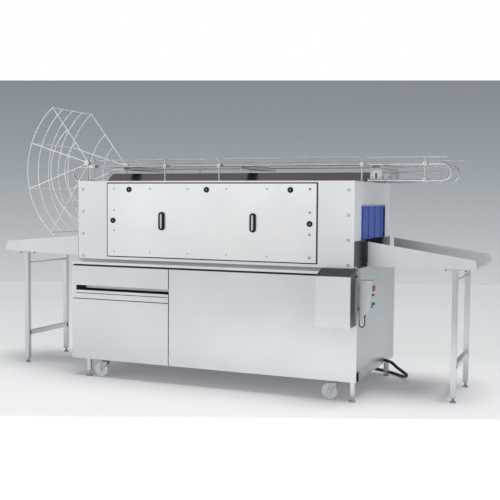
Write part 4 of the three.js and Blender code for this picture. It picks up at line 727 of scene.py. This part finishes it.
def make_legs(name, x, top, node):
    """Square legs with their plates, cross bar, tie rod and feet; the plates hang under the table."""
    half, reach, plug, bolt, rod_z = 20.0, 90.0, 18.6, 72.0, 918.0
    under = top - 6
    ys = (269.0, 870.0)
    shape = Shape().box(x - half, x + half, *ys, 253, 293)
    rod = Shape().tube([(x, ys[0], rod_z), (x, ys[1], rod_z)], 8.0, 20)
    ends, feet = Shape(), Shape()
    for y in ys:
        shape.box(x - half, x + half, y - half, y + half, 42, under + 0.5)
        shape.box(x - reach, x + reach, y - half, y + half, under, top)
        ends.box(x - plug, x + plug, y - plug, y + plug, 40.6, 43)
        for bolt_x in (x - bolt, x + bolt):
            ends.hexagon((bolt_x, y, under + 0.5), (0, 0, -1), 10.4, 10)
            ends.turned((bolt_x, y, under + 0.4), (0, 0, -1), [(0, 9), (1.8, 9), (2, 8.6)], 24)
        feet.turned((x, y, 0), UP,
                    [(0, 21), (1.5, 22), (9, 22), (12, 20.6), (17, 12), (20, 8.2), (20, 8), (42, 8)])
        add_thread(feet, x, y, 22, 6, 8.7)
        feet.hexagon((x, y, 36), UP, 19, 5.5)
    piece = shape.make(f"{name}_frame", LEG, "shaded_steel", 1.4, 3)
    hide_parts(node)
    rod.make(f"{name}_rod", BAR, "shaded_steel")
    ends.make(f"{name}_fittings", PLASTIC, "black_plastic", 0.3)
    feet.make(f"{name}_feet", ZINC, "galvanised_steel", 0.3)


make_legs("outlet_legs", 3126.0, 1002.7, "outlet_table_legs")
make_legs("inlet_legs", -734.0, 1020.4, "inlet_table_legs")


# Base frame, feet and castors

CASTORS = {"front_left": (274.0, -10.0), "front_right": (2288.0, -10.0), "rear_left": (374.0, 1058.0),
           "rear_right": (2188.0, 1058.0)}


def make_base():
    """Two long bars, three cross bars and the sheet over the left bay."""
    low, high, width = 151.0, 224.7, 60.0
    bars = Shape().box(-40, 2461, -24.7, 35.3, low, high)
    bars.box(-39.8, 2460.8, 1028, 1028 + width, low, high)
    for x in (-40, 855, 2401):
        bars.box(x, x + width, -24.5, 1153.7, low, high)
    bars.box(19.8, 855.2, 35.1, 1058, 224.5, 227.7)
    piece = bars.make("base_bars", SHADED, "shaded_steel", 2.0, 3)
    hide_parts("base_frame")


def make_castor_plates():
    """The plate over each castor, with its four bolts."""
    plates, bolts = Shape(), Shape()
    for x, y in CASTORS.values():
        middle = 5.3 if y < 0 else 1058.0
        plates.plate("z", 146, 151.2, rectangle(x - 45, x + 45, middle - 29.8, middle + 29.8, 6))
        for bolt_x, bolt_y in rectangle(x - 35, x + 35, middle - 20, middle + 20):
            bolts.hexagon((bolt_x, bolt_y, 146.3), (0, 0, -1), 11, 5)
    plates.make("castor_plates", ZINC, "galvanised_steel", 0.6)
    bolts.make("castor_bolts", ZINC, "galvanised_steel", 0.3)


def make_feet():
    """The cabinet's levelling feet: sleeve, nut, threaded bell and a rubber pad."""
    feet, pads = Shape(), Shape()
    for x, y in rectangle(112.0, 2426.0, -10.0, 1058.0):
        feet.turned((x, y, 50), UP, [(0, 21.6), (1.4, 23), (100.7, 23)])
        feet.turned((x, y, 42), UP, [(0, 23.6), (1.4, 25), (6.8, 25), (8, 23.8)])
        feet.turned((x, y, 5), UP, [(0, 24.4), (4, 24.4), (8, 20), (12, 11), (12.5, 8), (37.5, 8)])
        add_thread(feet, x, y, 19, 7, 8.8)
        pads.turned((x, y, 0), UP, [(0, 24), (1, 25), (4.5, 25), (5.6, 24.3)])
    feet.make("cabinet_feet", BAR, "polished_steel")
    pads.make("cabinet_foot_pads", RUBBER, "black_rubber")


def make_fork(name, x, y, wheel_x, wheel_z):
    """A castor's pressed fork with its race and cheeks, and the pins and nuts that hold it."""
    fork = Shape()
    fork.turned((x, y, 139), UP, [(0, 24), (0.8, 27), (3.4, 28), (4, 25), (5.4, 25), (6.6, 24)], 36)
    tip = arc(wheel_x, wheel_z, 13, 150, 180, 9)
    cheek = [(x + 27, 139.5), (x - 27, 139.5), (x - 33, 128), *tip, (x + 27, 126)]
    for side in (-1, 1):
        fork.plate("y", *sorted((y + side * 19, y + side * 23)), cheek)
    fork.plate("z", 135.5, 139.5, rectangle(x - 27, x + 27, y - 23, y + 23, 5))
    piece = fork.make(f"castor_yoke_{name}", ZINC, "galvanised_steel", 0.8, body=f"castor_fork_{name}")
    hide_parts(f"castor_fork_{name}")
    pins = Shape()
    pins.turned((wheel_x, y - 22.8, wheel_z), (0, 1, 0), [(0, 6), (45.6, 6)], 20)
    pins.hexagon((wheel_x, y - 22.9, wheel_z), (0, -1, 0), 15, 5)
    pins.hexagon((wheel_x, y + 22.9, wheel_z), (0, 1, 0), 15, 6)
    pins.turned((x, y, 134.5), UP, [(0, 6), (1, 7.5), (3, 7.5)], 20)
    pins.make(f"castor_axle_{name}", BAR, "galvanised_steel", 0.3, body=f"castor_fork_{name}")


def mirrored(profile, half):
    """A turned profile with its mirror image beyond the middle, the point on the middle only once."""
    return profile + [(2 * half - along, radius) for along, radius in reversed(profile) if along < half]


def make_wheel(name, y, wheel_x, wheel_z):
    """A castor's nylon wheel: tread, dished disc with eight ribs on each face, and ball caps."""
    radius, half, ribs = 62.5, 16.0, 8
    body = f"castor_wheel_{name}"
    foot = (wheel_x, y - half, wheel_z)
    shoulder = [(1.5, radius - 13), (0.4, radius - 11), (0.6, radius - 4), (2.6, radius - 1.2),
                (6, radius - 0.1)]
    tread = Shape().turned(foot, (0, 1, 0), mirrored(shoulder + [(half, radius)], half), 64)
    tread.make(f"castor_tread_{name}", TYRE, "wheel_white", body=body)
    face = [(0.2, 12), (0.2, 17), (1.2, 18.4), (6.2, 20), (7.4, 24), (7.4, radius - 19),
            (5.6, radius - 14), (1.6, radius - 12.6), (1.6, radius - 12)]
    disc = Shape().turned(foot, (0, 1, 0), mirrored(face, half), 64)
    inner, outer = (arc(wheel_x, wheel_z, reach, 0, 315, ribs - 1) for reach in (19, 46))
    for (inner_x, inner_z), (outer_x, outer_z) in zip(inner, outer):
        for side in (-1, 1):
            base = y + side * (half - 7.6)
            disc.tube([(inner_x, base + side * 1.5, inner_z), (outer_x, base + side * 0.5, outer_z)], 2.4, 8)
    wheel = disc.make(f"castor_disc_{name}", WHITE, "wheel_white", body=body)
    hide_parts(body)
    cap = Shape()
    for side in (-1, 1):
        cap.turned((wheel_x, y + side * 15.2, wheel_z), (0, side, 0),
                   [(0, 16), (1.6, 15.6), (3, 13), (3.2, 8)])
    cap.make(f"castor_cap_{name}", PLASTIC, "black_plastic", body=body)


make_base()
make_castor_plates()
make_feet()
for castor, (castor_x, castor_y) in CASTORS.items():
    make_fork(castor, castor_x, castor_y, castor_x - 38.0, 67.0)
    make_wheel(castor, castor_y, castor_x - 38.0, 67.0)


# Housing, door, locks and handles

LOCKS = {"lock_top_left": (499.1, 1584.0), "lock_top_middle": (1207.0, 1584.0),
         "lock_top_right": (1916.0, 1584.0), "lock_side_left": (345.0, 1327.0),
         "lock_side_right": (2073.0, 1327.0)}
DOOR_FACE = -8.0


def screw_head(shape, slots, x, y, z, radius, depth):
    """A domed head with a cross slot, which faces the front."""
    profile = [(-0.5, radius), (0.7, radius), (1.1, radius * 0.8), (depth * 0.7, radius * 0.68),
               (depth, radius * 0.3)]
    shape.turned((x, y, z), (0, -1, 0), profile, 24)
    turn, reach = 0.4, radius * 0.34
    for angle in (turn, turn + math.pi / 2):
        du, dv = math.cos(angle) * reach, math.sin(angle) * reach
        slots.tube([(x - du, y - depth, z - dv), (x + du, y - depth, z + dv)], radius * 0.07, 6)


def make_housing_fittings():
    """Screws down both ends of the housing's front and round the door; the larger heads sit on black rings
    that are painted shadow, the smaller on pale washers.
    """
    heads, slots, rings, pale = Shape(), Shape(), Shape(), Shape()
    rows = (1590, 1413, 1243, 1069)
    places = [(x, z, 0.0, 8.6, 4.4) for x in (46.0, 2375.0) for z in (1023.3, 1210.5, 1397.8, 1585.0)]
    places += [(x, z, DOOR_FACE, 5.2, 2.4) for x in (354, 696, 1038, 1381, 1724) for z in (rows[0], rows[-1])]
    places += [(354, z, DOOR_FACE, 5.2, 2.4) for z in rows[1:-1]]
    places += [(2073, z, DOOR_FACE, 7.4, 3.0) for z in rows]
    for x, z, face, radius, depth in places:
        screw_head(heads, slots, x, face - 0.6, z, radius, depth)
        # Heads of 7 mm and more get black rings, painted shadow round the heads; smaller heads get pale
        # washers.
        washers = pale if radius < 7 else rings
        profile = [(-0.5, radius * 1.4), (0.5, radius * 1.4), (0.9, radius * 1.25), (0.9, radius * 0.8)]
        washers.turned((x, face, z), (0, -1, 0), profile, 24)
    heads.make("housing_screws", BAR, "shaded_steel")
    slots.make("housing_screw_slots", PLASTIC, "black_plastic")
    rings.make("housing_screw_shadow_rings", RUBBER, "black_rubber")
    pale.make("door_screw_washers", ZINC, "shaded_steel")


def oval(width, height, x, z, steps=14):
    """An upright slot shape, anticlockwise, about a middle."""
    radius = width / 2
    straight = height / 2 - radius
    return arc(x, z + straight, radius, 0, 180, steps) + arc(x, z - straight, radius, 180, 180, steps)


def make_handle(name, x, z):
    """An oval pull handle: rounded black rim, deep pale well and a flange against the door."""
    back, width, height, rim = DOOR_FACE - 0.3, 49.0, 151.0, 17.0
    profile = [(0.0, 0.0), (0.0, 2.5), (1.4, 4.0), (2.2, 18.0), (3.8, 22.6), (6.4, 25.2), (9.0, 26.0),
               (11.6, 25.2), (14.0, 22.0), (15.4, 16.0), (16.2, 3.0), (rim - 0.2, 0.0)]
    shape = Shape()
    shape.loft([[(u, back - depth, v) for u, v in oval(width - inset * 2, height - inset * 2, x, z)]
                for inset, depth in profile], closed=True)
    piece = shape.make(f"{name}_rim", PLASTIC, "black_plastic", sharp=50.0, body="wash_door")
    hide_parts(name)
    well = Shape().plate("y", back - 17.0, back - 15.0, oval(width - rim * 2 + 2, height - rim * 2 + 2, x, z))
    well.make(f"{name}_well", SHADED, "shaded_steel", body="wash_door")


def make_lock(name, x, z, upright):
    """The black ring over the lock's head with its bright slotted insert."""
    front = DOOR_FACE - 0.3
    profile = [(0, 12), (0, 22.4), (1.2, 22.8), (4.4, 22.2), (6.6, 20.4), (7.5, 18.0), (7.3, 14.6),
               (6.2, 13.4), (6.0, 3.0)]
    ring = Shape().turned((x, front, z), (0, -1, 0), profile, 40)
    ring.make(f"{name}_ring", PLASTIC, "black_plastic", body=name)
    slot = oval(6.0, 15.0, 0.0, 0.0, 8)
    if not upright:
        slot = [(-v, u) for u, v in slot]
    insert = Shape().plate("y", front - 7.0, front - 4.0, [(x + u, z + v) for u, v in slot])
    insert.make(f"{name}_insert", ZINC, "polished_steel", 0.4, body=name)


def make_gasket():
    """Rubber edge strip: the seal in the doorway with a lip that laps the frame in front."""
    seal = Shape()
    seal.plate("y", -2.0, 14.0, rectangle(287.3, 2130.7, 1027.3, 1637.7, 3),
               [rectangle(291.3, 2126.7, 1031.3, 1633.7, 3)])
    seal.plate("y", -3.6, -0.2, rectangle(282.4, 2135.6, 1022.4, 1642.6, 5),
               [rectangle(291.6, 2126.4, 1031.2, 1633.4, 3)])
    piece = seal.make("door_seal", RUBBER, "black_rubber", 0.8)
    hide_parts("door_gasket")


make_gasket()
make_housing_fittings()
make_handle("handle_left", 805.0, 1328.2)
make_handle("handle_right", 1608.0, 1328.2)
for lock, (lock_x, lock_z) in LOCKS.items():
    make_lock(lock, lock_x, lock_z, lock.startswith("lock_top"))


# Strip curtains

def make_curtain(node, x, y0, y1, strips):
    """Soft strips that overlap and bow a little across their width, hung from a bar by rivets."""
    pivot, hem, lap, inset, gap, half = 1471.7, 1205.0, 8.0, 0.9, 0.4, 1.3
    across, down = 8, 12
    start = y0 + inset
    width = y1 - y0 - inset * 2
    strip = (width + lap * (strips - 1)) / strips
    head = pivot + 4
    shape = Shape()
    for i in range(strips):
        side = -1.5 if i % 2 == 0 else 1.5
        left = start + i * (strip - lap)
        rings = []
        for row in range(down + 1):
            share = row / down
            z = head - (head - hem) * share
            bow = 1.2 * math.sin(math.pi * min(1.0, share * 1.5)) * (1 if i % 3 else -0.6)
            front, rear = [], []
            for k in range(across + 1):
                y = left + gap + (strip - gap * 2) * k / across
                curl = side + bow * math.sin(math.pi * k / across) * 0.4
                front.append((x + curl - half, y, z))
                rear.append((x + curl + half, y, z))
            rings.append(front + rear[::-1])
        shape.loft(rings)
    piece = shape.make(f"{node}_strips", CURTAIN, "curtain_blue", 0.4, body=node)
    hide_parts(node)
    bar = Shape().box(x - 6, x + 6, start, start + width, pivot - 6, pivot + 6)
    bar.turned((x, start - 10, pivot), (0, 1, 0), [(0, 2.4), (0.8, 3), (12, 3)], 16)
    bar.turned((x, start + width - 3, pivot), (0, 1, 0), [(0, 3), (12.2, 3), (13, 2.4)], 16)
    bar.make(f"{node}_bar", BAR, "brushed_steel", 0.6, body=node)
    rivets = Shape()
    for i in range(strips):
        for share in (0.25, 0.75):
            y = start + i * (strip - lap) + strip * share
            for way in (-1, 1):
                rivets.turned((x + way * 5.8, y, pivot), (way, 0, 0),
                              [(0, 4.6), (0.8, 4.2), (1.8, 2.6), (2, 0.6)], 16)
    rivets.make(f"{node}_rivets", ZINC, "galvanised_steel", body=node)


make_curtain("inlet_curtain", 15.3, 254.0, 863.0, 6)
make_curtain("outlet_curtain", 2405.7, 190.0, 947.0, 8)


# Console and control box

FACE_LOW = Vector((2559.0, 0.0, 700.0))
FACE_HIGH = Vector((2579.0, 0.0, 920.0))
FACE_WAY = (FACE_HIGH - FACE_LOW).normalized()
FACE_OUT = Vector((FACE_WAY.z, 0.0, -FACE_WAY.x))


def on_face(z, y, out=0.0):
    """A place on the console's sloping face, by its height, its depth and how far it stands out."""
    share = (z - FACE_LOW.z) / (FACE_HIGH.z - FACE_LOW.z)
    return FACE_LOW.lerp(FACE_HIGH, share) + Vector((0, y, 0)) + FACE_OUT * out


def make_console_case():
    """The console's case and the bracket that holds it to the cabinet."""
    shape = Shape()
    shape.plate("y", -42, 42, [(2481, 629), (2483, 629), (2559, 700), (2579, 920), (2481, 920)])
    piece = shape.make("console_case", SHADED, "shaded_steel", 2.2, 3)
    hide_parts("operator_console")
    bracket = Shape().box(2461.3, 2482, -18, 18, 680, 860)
    for z in (700, 840):
        bracket.hexagon((2471, -17.8, z), (0, -1, 0), 11, 5)
    bracket.make("console_bracket", SHADED, "shaded_steel", 0.8)


def make_console_conduit():
    """The conduit from the housing down behind the console, and the glands at both ends of the cable."""
    bend = [(2428, -20, 1010), (2448, -20, 1008), (2465, -21, 996), (2474, -24, 972), (2476, -26, 940)]
    pipe = Shape().tube(curve_through(bend, 5) + [Vector((2476, -26, 712))], 6.0, 18)
    pipe.make("console_conduit", BAR, "shaded_steel")
    nut = [(0, 7), (0, 9.4), (0.8, 10), (8, 10), (8.4, 8.6), (10, 8.6), (10.4, 9.8), (17, 9.2), (19.4, 6.6),
           (20, 4.2)]
    gland = Shape().turned((2476, -26, 716), (0, 0, -1), nut, 12)
    gland.turned((2512, -3, 640), UP, [(0, 4.3), (3, 5.6), (14, 7.6), (20, 8.0)], 20)
    gland.make("console_gland", PLASTIC, "black_plastic", 0.3)


def make_console_face():
    """The plate on the console's sloping face, with two blank caps."""
    outline = rectangle(-34.0, 34.0, 712, 896, 8)
    plate = Shape().loft([[on_face(z, y, out) for y, z in outline] for out in (-0.5, 1.2)])
    plate.make("console_face_plate", SHADED, "brushed_steel", 0.3)
    caps = Shape()
    for y in (-14.0, 14.0):
        caps.turned(on_face(812, y, 0.8), FACE_OUT,
                    [(0, 9), (2.2, 9), (3.2, 8), (3.4, 6.4), (5.4, 5.0), (6, 2)], 28)
    caps.make("console_blank_caps", PLASTIC, "black_plastic")


BUTTONS = {
    "emergency_stop": {"z": 861.0, "radius": 20.0, "height": 14.3, "dome": 4.0, "under": (1.3, 1.7, 3.5)},
    "start_button": {"z": 726.0, "radius": 11.0, "height": 12.0, "dome": 2.4, "under": (2.7, 2.8, 3.4)},
}


def make_button(node, material, slot, bezel_material, bezel_slot):
    """A push head: bezel on the plate, shank, and a crowned cap that moves with the joint."""
    size = BUTTONS[node]
    radius, height, dome = size["radius"], size["height"], size["dome"]
    neck, flare, rim = size["under"]
    edge = [(0, radius * 1.2), (1.4, radius * 1.2), (2.6, radius * 1.08), (2.6, radius * 0.8)]
    bezel = Shape().turned(on_face(size["z"], 0.0, 0.9), FACE_OUT, edge, 36)
    bezel.make(f"{node}_bezel", bezel_material, bezel_slot)
    profile = [(-20, radius * 0.5), (neck, radius * 0.5), (flare, radius * 0.9), (rim, radius),
               (height - dome, radius), (height - dome * 0.4, radius * 0.93),
               (height - dome * 0.1, radius * 0.72), (height, radius * 0.4), (height, 0.1)]
    cap = Shape().turned(on_face(size["z"], 0.0), FACE_OUT, profile, 40)
    piece = cap.make(f"{node}_cap", material, slot, body=node)
    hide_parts(node)


def make_knob():
    """The mode knob: bezel on the plate, round base, flat pointed grip and its pale mark."""
    z, y, grip_foot = 744.0, 24.0, 8.0
    bezel = Shape().turned(on_face(z, y, 0.9), FACE_OUT, [(0, 13), (1.2, 13), (2, 12), (2, 9)])
    bezel.make("mode_knob_bezel", BAR, "polished_steel")
    low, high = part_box("mode_knob")
    rise = FACE_OUT * (min(18.0, (high.x - low.x) * 1000 - 14.0) - grip_foot)
    base = on_face(z, y, 0.3)
    profile = [(-14, 6), (2.0, 6), (2.2, 10.4), (3.4, 11), (8.0, 10.6), (9.0, 9.8), (9.2, 6)]
    knob = Shape().turned(base, FACE_OUT, profile)
    foot = base + FACE_OUT * grip_foot
    grip = [foot + Vector((0, dy, 0)) + FACE_WAY * dz for dy, dz in
            ((-10.2, -2.6), (-8, -3.2), (8, -3.2), (10.6, 0), (8, 3.2), (-8, 3.2), (-10.2, 2.6))]
    knob.loft([grip, [point + rise for point in grip]])
    piece = knob.make("mode_knob_grip", PLASTIC, "black_plastic", 0.6, body="mode_knob")
    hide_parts("mode_knob")
    mark = Shape().tube([foot + Vector((0, dy, 0)) + rise for dy in (3, 9.6)], 0.7, 8)
    mark.make("mode_knob_mark", WHITE, "wheel_white", body="mode_knob")


def make_gap_shadows():
    """Dark strips in the joints of the cabinet's front, which are painted shadow in the gaps, and the plate
    in the painted dark finish that closes the outlet's apron.
    """
    shadow_strips = Shape()
    # Painted shadow: black strips behind the gap under the ledge and in the two seams below the drawer's lip.
    shadow_strips.box(-38, 2459, -23.5, -21.5, 932, 962)
    shadow_strips.box(1.5, 879.5, -40.6, -39.2, 706.2, 711.8)
    shadow_strips.box(-29, 880, -41.0, -39.4, 657.8, 664.8)
    shadow_strips.make("panel_gap_shadow_strips", RUBBER, "black_rubber", 0.3)
    cheek = Shape().box(2424.6, 2427.6, 238, 296, 1000.5, 1202).box(2427.6, 2457, 250.5, 252.5, 1001, 1192)
    cheek.make("apron_cheek", PAINTED_DARK_REFLECTION, "dark_steel", 0.3)


make_console_case()
make_console_conduit()
make_console_face()
make_button("emergency_stop", RED, "button_red", PLASTIC, "black_plastic")
make_button("start_button", BLUE, "button_blue", BAR, "polished_steel")
make_knob()
make_gap_shadows()


# Solids kept from the part's source

KEPT = {
    STEEL: ["cabinet_deck", "hood_front", "control_box_door"],
    PAINTED_PANEL_SHADE: ["front_panel_right", "front_panel_left", "service_door", "sieve_drawer"],
    TABLE: ["inlet_table", "outlet_table"],
    PAINTED_END_SHADE: ["end_panel_outlet"],
    PAINTED_DOOR_LIGHT: ["wash_door"],
    SIDE: ["rear_panel", "hood_shell", "end_panel_inlet", "hood_end_inlet"],
    PAINTED_MOUTH_LIGHT: ["hood_end_outlet"],
    SHADED: ["wash_tank"],
    # The aprons and the control box take the painted dark reflection.
    PAINTED_DARK_REFLECTION: ["apron_inlet", "apron_outlet", "control_box"],
    PAINTED_ROOF_REFLECTION: ["roof_cover"],
    PLASTIC: list(LOCKS),
    ZINC: ["conveyor"],
    BAR: ["drive_shaft", "idler_shaft", "spray_pipes"],
    PAINT: ["gearmotor", "wash_pump"],
}


def dress_kept():
    """New material and rounded edges for every solid that still shows."""
    for material, names in KEPT.items():
        for name in names:
            piece = NODES[name]
            piece.data.materials.clear()
            piece.data.materials.append(material)
            for face in piece.data.polygons:
                face.material_index = 0
            add_bevel(piece, 0.5 if material is PAINTED_DARK_REFLECTION else 0.8, 2)


dress_kept()


# Floor, backdrop and light

# Painted light and shade on the floor: GLARE is past white for the band just in front of the machine, further
# off the floor darkens with distance, and far in front, where it shows only in reflections, it is darker
# still.
GLARE = (1.2, 1.2, 1.2, 1.0)
FLOOR_STOPS = [(0.0, tone(150, 151, 152)), (0.12, GLARE), (0.2435, GLARE), (0.2465, tone(239, 239, 240)),
               (0.384, tone(228, 229, 231)), (0.505, tone(219, 222, 223)), (0.805, tone(204, 208, 211)),
               (1.0, tone(199, 203, 206))]
# Painted light on the backdrop: it darkens towards the top.
WALL_STOPS = [(0.0, tone(199, 203, 206)), (0.12, tone(191, 195, 198)), (0.27, tone(179, 183, 188)),
              (0.42, tone(167, 173, 177)), (0.62, tone(152, 159, 165)), (0.77, tone(144, 151, 157)),
              (0.92, tone(137, 144, 150)), (1.0, tone(135, 140, 147))]


def paper(name, stops, axis, low, high, diffuse, glow):
    """Matt paper whose tone changes slowly along one axis as painted light and shade, and which also shines
    by itself.
    """
    made = Finish(name)
    split = made.add("ShaderNodeSeparateXYZ", {"Vector": made.place})
    ramp = made.add("ShaderNodeValToRGB", {"Fac": made.span(split.outputs[axis], low, high)})
    elements = ramp.color_ramp.elements
    elements[0].position, elements[0].color = stops[0]
    elements[1].position, elements[1].color = stops[-1]
    for position, colour in stops[1:-1]:
        elements.new(position).color = colour
    colour = ramp.outputs["Color"]
    made.set({"Base Color": made.scale(colour, diffuse), "Roughness": 0.9, "Specular IOR Level": 0.0,
              "Emission Color": colour, "Emission Strength": glow})
    return made.material


def make_sheet(name, corners, paint, casts_shadow):
    """One flat sheet of the stage, turned square to the camera."""
    mesh = bpy.data.meshes.new(name)
    mesh.from_pydata(corners, [], [(0, 1, 2, 3)])
    mesh.materials.append(paint)
    piece = bpy.data.objects.new(name, mesh)
    piece.matrix_world = Matrix.Rotation(CAMERA["yaw"], 4, "Z")
    piece.visible_shadow = casts_shadow
    bpy.context.scene.collection.objects.link(piece)


def make_stage():
    """A floor, and a backdrop whose top edge rises a little to the right."""
    half, front, back = 11.0, -14.0, 8.2
    floor_paint = paper("floor_paper", FLOOR_STOPS, "Y", -4.6, back, 0.8, 0.16)
    wall_paint = paper("backdrop_paper", WALL_STOPS, "Z", 0.0, 3.6, 0.0, 1.0)
    foot = [(-half, back, 0), (half, back, 0)]
    make_sheet("studio_floor", [(-half, front, 0), (half, front, 0), *reversed(foot)], floor_paint, True)
    make_sheet("studio_backdrop", [*foot, (half, back, 3.723), (-half, back, 3.553)], wall_paint, False)


def add_lamp(name, way, angle, strength):
    """A very wide distant lamp that lights without showing as a shape in the metal."""
    data = bpy.data.lights.new(name, "SUN")
    data.angle = math.radians(angle)
    data.energy = strength
    lamp = bpy.data.objects.new(name, data)
    lamp.matrix_world = (-Vector(way)).to_track_quat("-Z", "Y").to_matrix().to_4x4()
    lamp.visible_glossy = False
    bpy.context.scene.collection.objects.link(lamp)


def lobe(tree, way, direction, near, far, low, high):
    """A soft patch of light: high towards a direction and low away from it, between two cosines."""
    span = tree.nodes.new("ShaderNodeMapRange")
    span.interpolation_type = "SMOOTHSTEP"
    toward = dot_product(tree, way, Vector(direction).normalized())
    for socket, value in (("Value", toward), ("From Min", far), ("From Max", near), ("To Min", low),
                          ("To Max", high)):
        feed(tree, span.inputs[socket], value)
    return span.outputs["Result"]


def combine(tree, operation, first, second):
    """Two strengths put together by a sum, a product or a maximum."""
    node = tree.nodes.new("ShaderNodeMath")
    node.operation = operation
    feed(tree, node.inputs[0], first)
    feed(tree, node.inputs[1], second)
    return node.outputs[0]


def make_light():
    """A soft surround, bright in front, dim above the horizon and bright overhead, with wide lamps."""
    world = bpy.data.worlds.new("studio")
    world.use_nodes = True
    tree = world.node_tree
    way = tree.nodes.new("ShaderNodeTexCoord").outputs["Generated"]
    front = combine(tree, "ADD", lobe(tree, way, (0.0, -1.0, 0.0), 0.9, -0.4, 0.36, 0.50),
                    lobe(tree, way, (-0.32, -0.945, 0.02), 0.995, 0.87, 0.0, 0.80))
    glow = combine(tree, "MULTIPLY", front, lobe(tree, way, UP, 0.60, 0.16, 1.0, 0.26))
    glow = combine(tree, "ADD", glow, lobe(tree, way, (-0.40, 0.28, 0.87), 0.96, 0.86, 0.0, 0.70))
    seen = tree.nodes.new("ShaderNodeLightPath").outputs["Is Camera Ray"]
    back = tree.nodes["Background"]
    tree.links.new(combine(tree, "MAXIMUM", glow, seen), back.inputs["Strength"])
    back.inputs["Color"].default_value = (1.0, 1.0, 1.0, 1.0)
    bpy.context.scene.world = world
    add_lamp("overhead", (0.16, 0.0, 1.0), 36.0, 2.17)
    add_lamp("front_left", (-0.45, -0.85, 0.27), 60.0, 0.8)
    add_lamp("front_right", (0.72, -0.62, 0.30), 60.0, 0.55)


make_stage()
make_light()
bpy.context.scene.view_settings.view_transform = "Standard"
